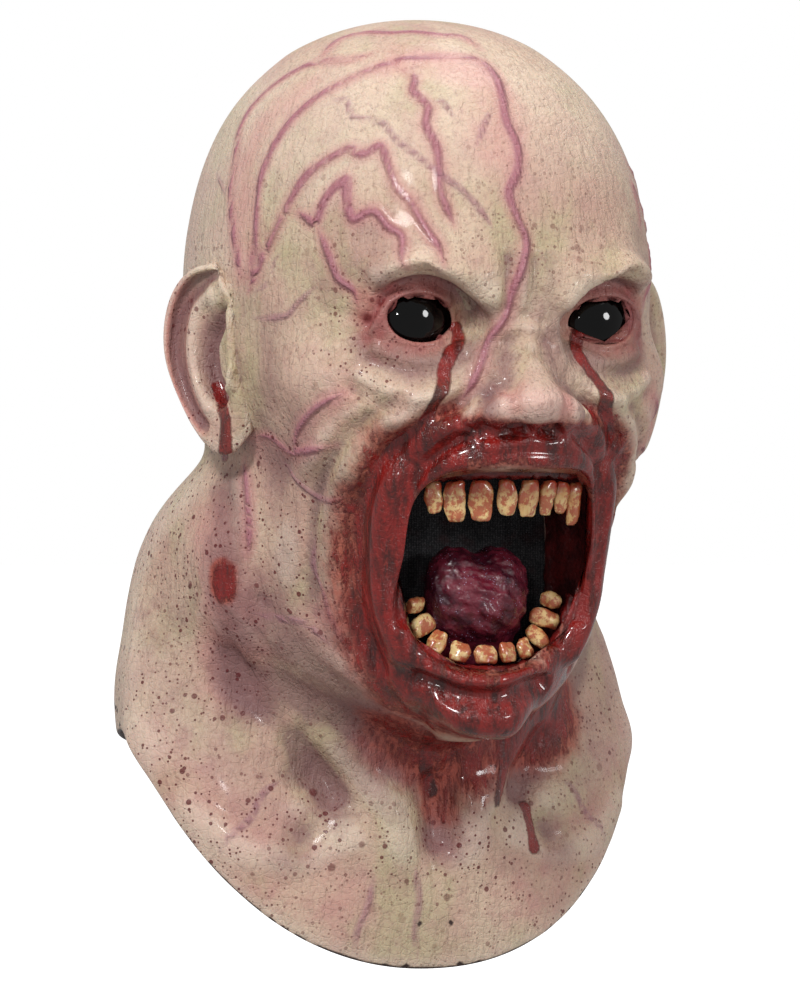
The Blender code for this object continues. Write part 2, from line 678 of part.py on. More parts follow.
def side_block(skin, turn, ring):
    """Grid block round an ear, which may pass from the front columns to the back ones."""
    spread = np.mod(skin.columns, 2 * math.pi)
    order = np.argsort(spread)
    inside = [c for c in order if turn.min() - 0.02 <= spread[c] <= turn.max() + 0.02]
    low = (inside[0] - 1) % len(spread)
    count = len(inside) + 1
    low_row = int(np.searchsorted(skin.rows, ring.min())) - 1
    high_row = int(np.searchsorted(skin.rows, ring.max()))
    return low, low + count, low_row, high_row


def point_normals(points, faces):
    """Outward normals at the points of a mesh."""
    points = np.asarray(points)
    total = np.zeros_like(points)
    for f in faces:
        corners = points[list(f)]
        normal = np.cross(corners[2] - corners[0], corners[-1] - corners[1])
        for k in f:
            total[k] += normal
    return total / np.maximum(np.linalg.norm(total, axis=1, keepdims=True), 1e-12)


def open_edges(faces):
    """Directed edges that only one face has."""
    edges = {(f[k], f[(k + 1) % len(f)]) for f in faces for k in range(len(f))}
    return [(a, b) for a, b in edges if (b, a) not in edges]


def face_skin(ears):
    """The face of the skin with its eye and mouth openings, with or without the ears."""
    skin = SkinMesh()
    for side in (-1, 1):
        add_eye_opening(skin, side)
    add_mouth_opening(skin)
    if ears:
        add_ear(skin, -1, EAR_FLARE_RIGHT)
        add_ear(skin, 1, EAR_FLARE_LEFT)
    skin.fill_grid()
    skin.fill_cap()
    return skin


def edge_loop(skin):
    """Open edge points, keyed by their place to a thousandth of a millimetre."""
    return {tuple(np.round(skin.points[a] * 1e6).astype(int)): a for a, _ in open_edges(skin.faces)}


def make_skin(finish):
    """The latex skin: the outer face has the ears, which are solid, and the inner face lies one wall in."""
    outer = face_skin(True)
    inner = face_skin(False)
    normal = point_normals(inner.points, inner.faces)
    inside = [p - n * SKIN_THICKNESS for p, n in zip(inner.points, normal)]
    first = len(outer.points)
    points = [*outer.points, *inside]
    faces = list(outer.faces)
    faces += [tuple(k + first for k in reversed(f)) for f in inner.faces]
    match = edge_loop(inner)
    for a, b in open_edges(outer.faces):
        c, d = (match[tuple(np.round(outer.points[k] * 1e6).astype(int))] + first for k in (a, b))
        faces.append((b, a, c, d))
    return add_object("mask_skin", points, faces, finish)


def lens(side, finish):
    """A domed eye, hollow behind."""
    segments, rows = 16, 4
    centre = Vector(eye_centre(side))
    points = []
    for radius in (EYE_RADIUS, EYE_RADIUS - LENS_THICKNESS):
        points.append(centre + Vector((0, -radius, 0)))
        for row in range(1, rows + 1):
            tilt = math.radians(61) * row / rows
            for k in range(segments):
                turn = 2 * math.pi * k / segments
                across = radius * math.sin(tilt)
                away = Vector((across * math.cos(turn), -radius * math.cos(tilt), across * math.sin(turn)))
                points.append(centre + away)
    faces = []
    half = len(points) // 2
    for start, flip in ((0, False), (half, True)):
        for k in range(segments):
            m = (k + 1) % segments
            faces.append((start, start + 1 + k, start + 1 + m))
            for row in range(rows - 1):
                a = start + 1 + row * segments
                b = a + segments
                faces.append((a + k, b + k, b + m, a + m))
    last = 1 + (rows - 1) * segments
    for k in range(segments):
        m = (k + 1) % segments
        faces.append((last + k, half + last + k, half + last + m, last + m))
    return add_object("eye_right" if side < 0 else "eye_left", points, faces, finish)


def behind_lip(x, z, setback):
    """How far along Y a place in the mouth opening is that lies this far behind the edge of the lips."""
    bearing = np.arctan2((CROWN_Z - MOUTH_DROP - z) / MOUTH_HEIGHT, x / MOUTH_WIDTH)
    return lip_points(MOUTH_RINGS[-1], bearing)[:, 1] + setback


def upper_row(place):
    """Root line of the upper teeth: where it runs and which way the teeth point."""
    place = np.asarray(place, float)
    x = 33.4 * place * TOOTH_UNIT
    z = CROWN_Z - (184.6 + 1.2 * place**2) * DOWN
    at = np.stack([x, behind_lip(x, z, 0.0065), z], axis=1)
    return at, np.tile([0.0, 0.06, -1.0], (len(place), 1))


def lower_row(place):
    """Root line of the lower teeth, a bow that follows the lower lip. Places are even along the bow."""
    fine = np.linspace(-math.pi / 2, math.pi / 2, 181)
    x = (31.0 * np.sign(fine) * np.abs(np.sin(fine)) ** 0.78 + 1.5) * TOOTH_UNIT
    z = CROWN_Z - (229 + 27.0 * np.maximum(np.cos(fine), 0) ** 0.72) * DOWN
    length = np.concatenate([[0], np.cumsum(np.hypot(np.diff(x), np.diff(z)))])
    steps = np.interp((np.asarray(place, float) + 1) / 2 * length[-1], length, np.arange(181.0))
    x, z, turn = (np.interp(steps, np.arange(181.0), values) for values in (x, z, fine))
    at = np.stack([x, behind_lip(x, z, 0.0065), z], axis=1)
    lean = -0.75 * np.sin(turn) ** 3
    return at, np.stack([lean, 0.15 + 0 * lean, 1 - 0.25 * np.abs(lean)], axis=1)


def unit(rows):
    return rows / np.linalg.norm(rows, axis=1, keepdims=True)


def row_frames(row, place):
    """Position, way along the row, way that the teeth point, and way ahead."""
    place = np.atleast_1d(np.asarray(place, float))
    at, point = row(place)
    along = unit(row(place + 0.01)[0] - row(place - 0.01)[0])
    point = unit(point - along * np.sum(point * along, axis=1, keepdims=True))
    ahead = np.cross(along, point)
    ahead = np.where(ahead[:, 1:2] > 0, -ahead, ahead)
    return at, along, point, ahead


def closed_loft(name, rings, finish):
    """A closed piece through rings of points, with a flat end on each."""
    count = len(rings[0])
    points = [p for ring in rings for p in ring]
    faces = []
    for row in range(len(rings) - 1):
        for k in range(count):
            m = (k + 1) % count
            a, b = row * count, (row + 1) * count
            faces.append((a + k, a + m, b + m, b + k))
    faces.append(tuple(range(count)))
    faces.append(tuple(range((len(rings) - 1) * count, len(rings) * count)))
    return add_object(name, points, faces, finish)


def gum(name, row, reach, sections, finish):
    """A ridge that holds a row of teeth, thinner towards its ends."""
    place = np.linspace(-reach, reach, sections)
    at, _, point, ahead = row_frames(row, place)
    rings = []
    for k in range(sections):
        taper = 1 - 0.35 * abs(place[k] / reach) ** 12
        middle = at[k] - point[k] * (GUM_HEIGHT / 2 + 2 * SEAT_GAP) - ahead[k] * 0.0012
        ring = []
        for step in range(GUM_SEGMENTS):
            turn = 2 * math.pi * step / GUM_SEGMENTS
            c, s = math.cos(turn), math.sin(turn)
            c, s = math.copysign(abs(c) ** 0.75, c), math.copysign(abs(s) ** 0.75, s)
            ring.append(middle + ahead[k] * c * GUM_DEPTH / 2 * taper + point[k] * s * GUM_HEIGHT / 2 * taper)
        rings.append(ring)
    return closed_loft(name, rings, finish)


def tooth(name, row, spec, tall, finish):
    """A worn peg of a tooth, rounded at its tip."""
    at, along, point, ahead = (v[0] for v in row_frames(row, spec.place))
    rings = []
    for share, wide, thick in TOOTH_SHAPE:
        middle = at + point * share * tall * spec.tall
        ring = []
        for step in range(TOOTH_SEGMENTS):
            turn = 2 * math.pi * step / TOOTH_SEGMENTS
            c, s = math.cos(turn), math.sin(turn)
            across = along * c * spec.width * TOOTH_UNIT / 2 * wide
            ring.append(middle + across + ahead * (s * TOOTH_THICKNESS / 2 * thick + 0.0006 * (1 - share)))
        rings.append(ring)
    return closed_loft(name, rings, finish)


def tube_margin(bearing, narrowing):
    """How far the mouth's wall lies outside the lips' opening; there is more room below, behind the lip."""
    slope = np.sin(bearing)
    return 0.0030 + 0.0078 * np.clip(slope, 0, 1) ** 1.1 + 0.0032 * np.clip(-slope, 0, 1) ** 1.2 - narrowing


def throat_y():
    """Where the mouth ends, as far behind the front of the face as the mouth is deep."""
    return MOUTH_DEPTH - HEAD_HALF_LENGTH


def mouth_tube(depth, narrowing, count=36):
    """A ring of the mouth's inside: its outline moved back from the lips, level at the throat."""
    bearing = np.linspace(0, 2 * math.pi, count, endpoint=False)
    near_x, near_z = mouth_outline(tube_margin(bearing, min(narrowing, 0)), bearing)
    turn, ring = find(near_x, near_z, [0, 2], 0.0, 11.0)
    start = np.maximum(sculpted(turn, ring)[:, 1] + 0.0038, behind_lip(near_x, near_z, 0.0008))
    x, z = mouth_outline(tube_margin(bearing, narrowing), bearing)
    y = start + (throat_y() - start) * depth
    return np.stack([x, y, z], axis=1)


def lining(finish):
    """The wall of the mouth between the lips and the throat screen."""
    shape = [(0.0, 0.0), (0.35, 0.0), (0.7, 0.0030), (1.0, 0.0075)]
    inside = [mouth_tube(depth, narrowing) for depth, narrowing in shape]
    outside = [mouth_tube(depth, narrowing - LINING_THICKNESS) for depth, narrowing in shape]
    rings = [*outside, *inside[::-1]]
    count = len(rings[0])
    points = [p for ring in rings for p in ring]
    faces = []
    for row in range(len(rings)):
        for k in range(count):
            m = (k + 1) % count
            a, b = row * count, (row + 1) % len(rings) * count
            faces.append((a + k, a + m, b + m, b + k))
    return add_object("mouth_lining", points, faces, finish)


def throat_screen(finish):
    """A dark fabric panel that closes the back of the mouth."""
    edge = mouth_tube(1.0, 0.0062)
    front = edge + [0, SEAT_GAP, 0]
    centre = front.mean(axis=0)
    rings = []
    for lift, share in ((SCREEN_THICKNESS, 1.0), (0, 1.0), (0, 0.6)):
        rings.append(centre + (front - centre) * share + [0, lift, 0])
    back = [centre + (front - centre) * share + [0, SCREEN_THICKNESS, 0] for share in (0.6,)]
    rings = [back[0], *rings]
    return closed_loft("throat_screen", rings, finish)


def floor_height(x, narrowing):
    """Height of the floor of the mouth at a place across it."""
    margin = tube_margin(math.pi / 2, narrowing)
    share = min(abs(x) / (MOUTH_WIDTH / 2 + margin), 0.98)
    return CROWN_Z - MOUTH_DROP - (MOUTH_HEIGHT / 2 + margin) * (1 - share**2.5) ** 0.4


def tongue(finish):
    """A tongue arched up out of the floor of the mouth, with a furrow down its middle."""
    sections, count = 8, 14
    centre = spot(0, 0, 229)[2]
    rings = []
    for k in range(sections):
        share = k / (sections - 1)
        swell = math.sin(math.pi * (0.04 + 0.92 * share)) ** 0.62
        y = throat_y() - TONGUE_LENGTH * share
        lift = 0.004 * (1 - share)
        free = min(max((share - 0.35) / 0.2, 0), 1)
        ring = []
        for step in range(count):
            turn = 2 * math.pi * step / count
            c, s = math.cos(turn), math.sin(turn)
            x = MOUTH_WIDTH / 2 * TONGUE_WIDTH_SHARE * swell * math.copysign(abs(c) ** 0.85, c)
            high = abs(s) ** 0.85
            up = TONGUE_HEIGHT / 2 * swell * high
            if s >= 0:
                z = centre + lift + up - 0.006 * math.exp(-(x / 0.006) ** 2) * s * swell
            else:
                root = (centre - floor_height(x, 0.0075 * (1 - share)) - 0.0008) * high
                z = centre + lift * (1 - high) - up * free - root * (1 - free)
            ring.append(np.array([x, y, z]))
        rings.append(ring)
    return closed_loft("tongue", rings, finish)


def main():
    clear_scene()
    latex = material("latex_skin", (0.80, 0.62, 0.54), 0.45)
    flesh = material("mouth_flesh", (0.16, 0.03, 0.03), 0.30)
    enamel = material("tooth_resin", (0.80, 0.66, 0.45), 0.25)
    black = material("eye_resin", (0.01, 0.01, 0.012), 0.06)
    cloth = material("screen_cloth", (0.05, 0.05, 0.05), 0.9)
    make_skin(latex)
    for side in (-1, 1):
        lens(side, black)
    lining(flesh)
    throat_screen(cloth)
    gum("upper_gum", upper_row, 0.98, 10, flesh)
    gum("lower_gum", lower_row, 0.99, 16, flesh)
    for number, spec in enumerate(UPPER_TEETH, 1):
        tooth(f"upper_tooth_{number}", upper_row, spec, UPPER_TOOTH_HEIGHT, enamel)
    for number, spec in enumerate(LOWER_TEETH, 1):
        tooth(f"lower_tooth_{number}", lower_row, spec, LOWER_TOOTH_HEIGHT, enamel)
    tongue(flesh)


main()
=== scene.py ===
# %% [markdown]
# This lesson dresses the CAD model of a latex zombie mask. The CAD nodes are the fixed frame, in metres,
# with the face along -Y. Every soft or worn surface is made again from a copy of its node, so it keeps the
# node's place.

# %% Load the frame
import math

import bmesh
import bpy
import numpy as np
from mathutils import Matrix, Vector
from mathutils.bvhtree import BVHTree
from mathutils.kdtree import KDTree


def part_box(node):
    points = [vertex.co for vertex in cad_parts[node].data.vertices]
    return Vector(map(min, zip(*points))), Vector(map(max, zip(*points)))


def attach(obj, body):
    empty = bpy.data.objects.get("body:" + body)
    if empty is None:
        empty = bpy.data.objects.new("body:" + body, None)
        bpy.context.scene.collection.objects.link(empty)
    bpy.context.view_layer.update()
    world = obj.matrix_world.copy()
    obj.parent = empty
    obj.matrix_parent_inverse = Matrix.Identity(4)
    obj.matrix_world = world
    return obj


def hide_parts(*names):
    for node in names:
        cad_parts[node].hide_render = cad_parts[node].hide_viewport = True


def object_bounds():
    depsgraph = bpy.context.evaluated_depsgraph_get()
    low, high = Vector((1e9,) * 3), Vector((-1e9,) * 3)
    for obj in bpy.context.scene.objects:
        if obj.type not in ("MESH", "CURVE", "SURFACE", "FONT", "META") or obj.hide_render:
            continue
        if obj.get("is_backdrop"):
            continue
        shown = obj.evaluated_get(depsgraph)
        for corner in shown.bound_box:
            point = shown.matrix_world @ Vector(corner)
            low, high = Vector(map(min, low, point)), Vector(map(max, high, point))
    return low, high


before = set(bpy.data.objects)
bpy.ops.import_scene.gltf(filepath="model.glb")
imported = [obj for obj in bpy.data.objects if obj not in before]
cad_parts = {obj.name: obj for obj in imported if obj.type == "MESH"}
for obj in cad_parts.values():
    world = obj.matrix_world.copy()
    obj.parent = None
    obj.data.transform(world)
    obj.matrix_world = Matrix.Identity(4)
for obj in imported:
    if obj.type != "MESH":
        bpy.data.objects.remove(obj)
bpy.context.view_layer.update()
print("nodes", len(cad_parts))

# %% [markdown]
# The camera comes first, because the painted veins and blood are placed by looking through it. It stands
# level, 24 degrees to the mask's right, far enough away that the head is hardly distorted.

# %% Camera
FRAME_WIDTH = 800
FRAME_HEIGHT = 997
PIXELS_PER_METRE = 2500
CAMERA_DISTANCE = 2.2
CAMERA_TURN = math.radians(-24)
AIM_SIDE = -19 / PIXELS_PER_METRE
AIM_HEIGHT = 0.0025 - 479.5 / PIXELS_PER_METRE
SENSOR_WIDTH = 36
FOCAL_PIXELS = PIXELS_PER_METRE * CAMERA_DISTANCE

back = Vector((math.sin(CAMERA_TURN), -math.cos(CAMERA_TURN), 0))
right = Vector((math.cos(CAMERA_TURN), math.sin(CAMERA_TURN), 0))
aim = right * AIM_SIDE + Vector((0, 0, AIM_HEIGHT))
bpy.ops.object.camera_add(location=aim + back * CAMERA_DISTANCE)
camera = bpy.context.object
camera.rotation_mode = "QUATERNION"
camera.rotation_quaternion = (-back).to_track_quat("-Z", "Y")
camera.data.sensor_width = SENSOR_WIDTH
camera.data.lens = SENSOR_WIDTH * FOCAL_PIXELS / FRAME_HEIGHT
camera.data.clip_end = 50
bpy.context.scene.camera = camera
print("lens", round(camera.data.lens, 1), "mm")


def pixel_ray(x, y):
    """Where a point of the picture lies: the camera's place and the direction through it."""
    across = (x - FRAME_WIDTH / 2) / FOCAL_PIXELS
    up = (FRAME_HEIGHT / 2 - y) / FOCAL_PIXELS
    return camera.location.copy(), (-back + right * across + Vector((0, 0, up))).normalized()


# %% [markdown]
# The stage is a white floor under a white sky, as in a studio. The floor glows, so that it looks as white
# as the sky, but it sends no light up, because the real mask is dark under the chin.

# %% Floor, sky and lamps
bpy.context.scene.view_settings.view_transform = "Standard"
world = bpy.data.worlds.new("studio_sky")
bpy.context.scene.world = world
SKY_LIGHT = 0.40
SKY_SEEN = 1.0
world.use_nodes = True
sky = world.node_tree.nodes["Background"]
sky.inputs["Color"].default_value = (1, 1, 1, 1)
sight = world.node_tree.nodes.new("ShaderNodeLightPath")
level = world.node_tree.nodes.new("ShaderNodeMapRange")
level.inputs["To Min"].default_value = SKY_LIGHT
level.inputs["To Max"].default_value = SKY_SEEN
world.node_tree.links.new(sight.outputs["Is Camera Ray"], level.inputs["Value"])
world.node_tree.links.new(level.outputs["Result"], sky.inputs["Strength"])

FLOOR_HEIGHT = -0.46
FLOOR_RADIUS = 20
bpy.ops.mesh.primitive_circle_add(
    vertices=64, radius=FLOOR_RADIUS, fill_type="NGON", location=(0, 0, FLOOR_HEIGHT)
)
floor = bpy.context.object
floor.name = "studio_floor"
floor_finish = bpy.data.materials.new("white_floor")
floor_finish.use_nodes = True
floor_shader = floor_finish.node_tree.nodes["Principled BSDF"]
floor_shader.inputs["Base Color"].default_value = (0.85, 0.85, 0.85, 1)
floor_shader.inputs["Roughness"].default_value = 0.9
floor_shader.inputs["Specular IOR Level"].default_value = 0.0
floor_shader.inputs["Emission Color"].default_value = (1, 1, 1, 1)
floor_shader.inputs["Emission Strength"].default_value = 0.85
floor.data.materials.append(floor_finish)
floor.visible_diffuse = False
floor.visible_glossy = False
floor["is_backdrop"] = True


def lamp(name, side, out, up, size, power):
    """A soft round lamp, placed from the camera's side and turned to the face."""
    place = aim + right * side + back * out + Vector((0, 0, up))
    bpy.ops.object.light_add(type="AREA", location=place)
    made = bpy.context.object
    made.name = name
    made.data.shape = "DISK"
    made.data.size = size
    made.data.energy = power
    made.rotation_mode = "QUATERNION"
    made.rotation_quaternion = (place - aim).to_track_quat("Z", "Y")


lamp("key_lamp", -0.50, 1.1, 0.95, 0.26, 14)
lamp("fill_lamp", 1.1, 0.8, 0.25, 0.26, 4.5)
lamp("top_lamp", 0.1, -0.3, 1.2, 0.6, 6)
lamp("spark_lamp", -0.15, 1.3, 0.25, 0.06, 1.2)

# %% [markdown]
# Shader maths reads best as plain expressions. A Number wraps a socket, and each operator adds a Math node.

# %% Shader helpers


class Number:
    """A socket that can be used in sums."""

    def __init__(self, finish, socket):
        self.finish = finish
        self.socket = socket

    def _math(self, operation, first, second):
        return self.finish.node("ShaderNodeMath", {0: first, 1: second}, operation=operation)

    def __add__(self, other):
        return self._math("ADD", self, other)

    def __sub__(self, other):
        return self._math("SUBTRACT", self, other)

    def __rsub__(self, other):
        return self._math("SUBTRACT", other, self)

    def __mul__(self, other):
        return self._math("MULTIPLY", self, other)

    __radd__ = __add__
    __rmul__ = __mul__

    def most(self, other):
        return self._math("MAXIMUM", self, other)

    def step(self, low, high):
        """0 below low and 1 above high, smooth between; low may be the greater."""
        values = {"Value": self, "From Min": low, "From Max": high}
        return self.finish.node("ShaderNodeMapRange", values, interpolation_type="SMOOTHSTEP")


class Finish:
    """One material, with its nodes added by one method."""

    def __init__(self, name, **constants):
        self.material = bpy.data.materials.new(name)
        self.material.use_nodes = True
        self.tree = self.material.node_tree
        self.shader = self.tree.nodes["Principled BSDF"]
        for socket, value in constants.items():
            self.shader.inputs[socket.replace("_", " ")].default_value = value
        self.place = self.node("ShaderNodeTexCoord", output="Object")

    def node(self, kind, values=None, output=0, **settings):
        made = self.tree.nodes.new(kind)
        for setting, value in settings.items():
            setattr(made, setting, value)
        for socket, value in (values or {}).items():
            if isinstance(value, Number):
                self.tree.links.new(value.socket, made.inputs[socket])
            else:
                made.inputs[socket].default_value = value
        return Number(self, made.outputs[output])

    def mix(self, share, first, second):
        """One colour faded into another."""
        first = first if isinstance(first, Number) else (*first, 1)
        second = second if isinstance(second, Number) else (*second, 1)
        return self.node("ShaderNodeMix", {0: share, 6: first, 7: second}, 2, data_type="RGBA")

    def stretched(self, stretch):
        """The object's coordinates, scaled along each axis if asked."""
        if stretch is None:
            return self.place
        return self.node("ShaderNodeMapping", {"Vector": self.place, "Scale": stretch})

    def noise(self, size, detail=3.0, rough=0.55, stretch=None):
        """Cloudy noise whose blobs are about size metres across."""
        place = self.stretched(stretch)
        values = {"Vector": place, "Scale": 1 / size, "Detail": detail, "Roughness": rough}
        return self.node("ShaderNodeTexNoise", values)

    def cells(self, size, feature="F1", jitter=1.0, output=0, stretch=None):
        """Cells about size metres across: distances, or a colour for each cell."""
        values = {"Vector": self.stretched(stretch), "Scale": 1 / size, "Randomness": jitter}
        return self.node("ShaderNodeTexVoronoi", values, output, feature=feature)

    def painted(self, name):
        """A value stored on the mesh's points."""
        return self.node("ShaderNodeAttribute", output="Fac", attribute_name=name)

    def bump(self, height, distance, strength=1.0):
        values = {"Height": height, "Distance": distance, "Strength": strength}
        return self.node("ShaderNodeBump", values)

    def link(self, **sockets):
        for name, value in sockets.items():
            self.tree.links.new(value.socket, self.shader.inputs[name.replace("_", " ")])
        return self.material


# %% [markdown]
# A CAD node comes as loose triangles. Its copy is welded, turned to quads and subdivided, which gives the
# smooth rubber surface that the later strokes press into.

# %% Copying a node
WELD = 0.00002
MIDDLE_DEPTH = 0.012


def only(piece):
    bpy.ops.object.select_all(action="DESELECT")
    piece.select_set(True)
    bpy.context.view_layer.objects.active = piece


def apply_modifier(piece, kind, **settings):
    only(piece)
    made = piece.modifiers.new(kind.title(), kind)
    for setting, value in settings.items():
        setattr(made, setting, value)
    bpy.ops.object.modifier_apply(modifier=made.name)


def copied(node, name, levels, regain=True):
    """A welded, subdivided copy of a CAD node that stands for it."""
    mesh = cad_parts[node].data.copy()
    mesh.materials.clear()
    piece = bpy.data.objects.new(name, mesh)
    bpy.context.scene.collection.objects.link(piece)
    only(piece)
    bpy.ops.object.mode_set(mode="EDIT")
    bpy.ops.mesh.select_all(action="SELECT")
    bpy.ops.mesh.remove_doubles(threshold=WELD)
    bpy.ops.mesh.tris_convert_to_quads(face_threshold=0.9, shape_threshold=1.2)
    bpy.ops.mesh.mark_sharp(clear=True)
    bpy.ops.object.mode_set(mode="OBJECT")
    bpy.ops.mesh.customdata_custom_splitnormals_clear()
    apply_modifier(piece, "SUBSURF", levels=levels, render_levels=levels)
    mesh.shade_smooth()
    if regain:
        # subdividing draws a piece in, so it is drawn out again to its node's box
        rows = points_of(piece)
        low, high = (np.array(corner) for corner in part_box(node))
        put_points(piece, low + (rows - rows.min(0)) / np.ptp(rows, axis=0) * (high - low))
    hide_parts(node)
    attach(piece, "root")
    return piece


def points_of(piece):
    flat = np.zeros(len(piece.data.vertices) * 3)
    piece.data.vertices.foreach_get("co", flat)
    return flat.reshape(-1, 3)


def normals_of(piece):
    flat = np.zeros(len(piece.data.vertices) * 3)
    piece.data.vertex_normals.foreach_get("vector", flat)
    return flat.reshape(-1, 3)


def put_points(piece, points):
    piece.data.vertices.foreach_set("co", points.astype(np.float32).ravel())
    piece.data.update()


def outwards(places):
    """The level direction from the head's upright middle line to each place."""
    return places * [1, 1, 0] - np.array([0, MIDDLE_DEPTH, 0])


def tree_of(points):
    tree = KDTree(len(points))
    for k, point in enumerate(points):
        tree.insert(point, k)
    tree.balance()
    return tree


def surface_of(piece):
    return BVHTree.FromPolygons(
        [v.co for v in piece.data.vertices], [p.vertices[:] for p in piece.data.polygons]
    )


def neighbour_mean(piece, values):
    """Each point's mean over its neighbours."""
    edges = np.zeros(len(piece.data.edges) * 2, int)
    piece.data.edges.foreach_get("vertices", edges)
    first, second = edges.reshape(-1, 2).T
    total = np.zeros_like(values)
    count = np.zeros(len(values))
    for a, b in ((first, second), (second, first)):
        np.add.at(total, a, values[b])
        np.add.at(count, a, 1)
    count = np.maximum(count, 1)
    return total / (count[:, None] if values.ndim > 1 else count)


def store(piece, name, values):
    layer = piece.data.attributes.new(name, "FLOAT", "POINT")
    layer.data.foreach_set("value", np.asarray(values, np.float32))


# %% [markdown]
# The skin is one casting of latex. The wall's inner side is hardly seen, so it is thinned, and the face
# gets the spare triangles, because its folds are the finest.

# %% Skin: a denser copy of the casting
WALL_SEARCH = 0.4
INNER_SHARE_KEPT = 0.62
skin = copied("mask_skin", "mask_skin_cast", 2, regain=False)
points, normals = points_of(skin), normals_of(skin)
surface = surface_of(skin)
inner = np.zeros(len(points))
for k, (point, normal) in enumerate(zip(points, normals)):
    if outwards(point) @ normal < 0:
        start = Vector(point + normal * 0.001)
        if surface.ray_cast(start, Vector(normal), WALL_SEARCH)[0] is not None:
            inner[k] = 1
group = skin.vertex_groups.new(name="inner")
group.add([int(k) for k in np.where(inner > 0)[0]], 1.0, "REPLACE")
apply_modifier(skin, "DECIMATE", ratio=INNER_SHARE_KEPT, vertex_group="inner", vertex_group_factor=1.0)
print("skin", len(skin.data.polygons), "faces, inner points", int(inner.sum()))

# %% Skin: finer faces where the face is
FACE_HALF_WIDTH = 0.080
FACE_FRONT = -0.035
FACE_TOP = -0.080
FACE_BOTTOM = -0.292
# Each fine zone: its pixel on the picture, its reach in metres and the cuts of each edge.
FINE_ZONES = [((223, 580), 0.022, 2), ((438, 810), 0.016, 1)]
shell = bmesh.new()
shell.from_mesh(skin.data)
shell.normal_update()
chosen = set()
for face in shell.faces:
    centre = face.calc_center_median()
    inside = abs(centre.x) < FACE_HALF_WIDTH and centre.y < FACE_FRONT
    inside = inside and FACE_BOTTOM < centre.z < FACE_TOP
    if inside and len(face.verts) == 4 and face.normal.dot(centre - Vector((0, 0.02, centre.z))) > 0:
        chosen.update(face.edges)
bmesh.ops.subdivide_edges(shell, edges=list(chosen), cuts=1, use_grid_fill=True)
plain = surface_of(skin)
for pixel, reach, cuts in FINE_ZONES:
    centre = plain.ray_cast(*pixel_ray(*pixel))[0]
    near = [e for e in shell.edges if ((e.verts[0].co + e.verts[1].co) / 2 - centre).length < reach]
    bmesh.ops.subdivide_edges(shell, edges=near, cuts=cuts, use_grid_fill=True)
shell.to_mesh(skin.data)
shell.free()
points = points_of(skin)
smooth = neighbour_mean(skin, points)
front = (points[:, 1] < FACE_FRONT) & (points[:, 2] < FACE_TOP)
front &= np.abs(points[:, 0]) < FACE_HALF_WIDTH
points[front] += (smooth[front] - points[front]) * 0.5
put_points(skin, points)
skin.data.shade_smooth()
skin.data.calc_loop_triangles()
print("skin", len(skin.data.loop_triangles), "triangles")

# %% [markdown]
# A sculptor would now work the clay with a loop tool. Here each stroke is a line drawn on the picture: it
# is cast onto the skin, and the points near it rise or sink. A stroke moves both sides of the wall
# together.

# %% Skin: strokes
MILLIMETRE = 0.001
MIRROR_REACH = 0.012
INNER_SET_BACK = 1.5 * MILLIMETRE
surface = surface_of(skin)


def rounded(pixels, step):
    """Places step pixels apart on a smooth curve through the pixels."""
    ends = np.array([pixels[0], *pixels, pixels[-1]], float)
    found = []
    for before, start, end, after in zip(ends, ends[1:], ends[2:], ends[3:]):
        count = max(1, int(np.linalg.norm(end - start) / step))
        for k in range(count):
            t = k / count
            found.append(
                0.5
                * (
                    2 * start
                    + (end - before) * t
                    + (2 * before - 5 * start + 4 * end - after) * t * t
                    + (3 * start - before - 3 * end + after) * t**3
                )
            )
    return [*found, ends[-1]]


def cast(pixels, step=3.0):
    """A line of the picture laid on the skin: places and outward directions."""
    places, facings = [], []
    for x, y in rounded(pixels, step):
        hit, normal, _, _ = surface.ray_cast(*pixel_ray(x, y))
        if hit is not None and normal.dot(back) > -0.2:
            places.append(hit)
            facings.append(normal)
    return places, facings


def mirrored(places):
    """The same line on the other half of the mask."""
    found, facings = [], []
    for place in places:
        other = Vector((-place.x, place.y, place.z))
        hit, normal, _, _ = surface.find_nearest(other)
        if (hit - other).length < MIRROR_REACH:
            found.append(hit)
            facings.append(normal)
    return found, facings


def press(points, places, facings, radius, height):
    """Raises the points near a line, or sinks them where height is negative."""
    if not places:
        return points
    tree = tree_of(places)
    facing = np.array([list(f) for f in facings])
    low = np.array([list(p) for p in places]).min(0) - radius
    high = np.array([list(p) for p in places]).max(0) + radius
    near = np.where(((points > low) & (points < high)).all(1))[0]
    for k in near:
        _, index, distance = tree.find(points[k])
        if distance < radius:
            around = facing[max(index - 3, 0):index + 4].mean(0)
            around /= max(np.linalg.norm(around), 1e-6)
            points[k] += around * height * (1 - (distance / radius) ** 2) ** 2
    return points


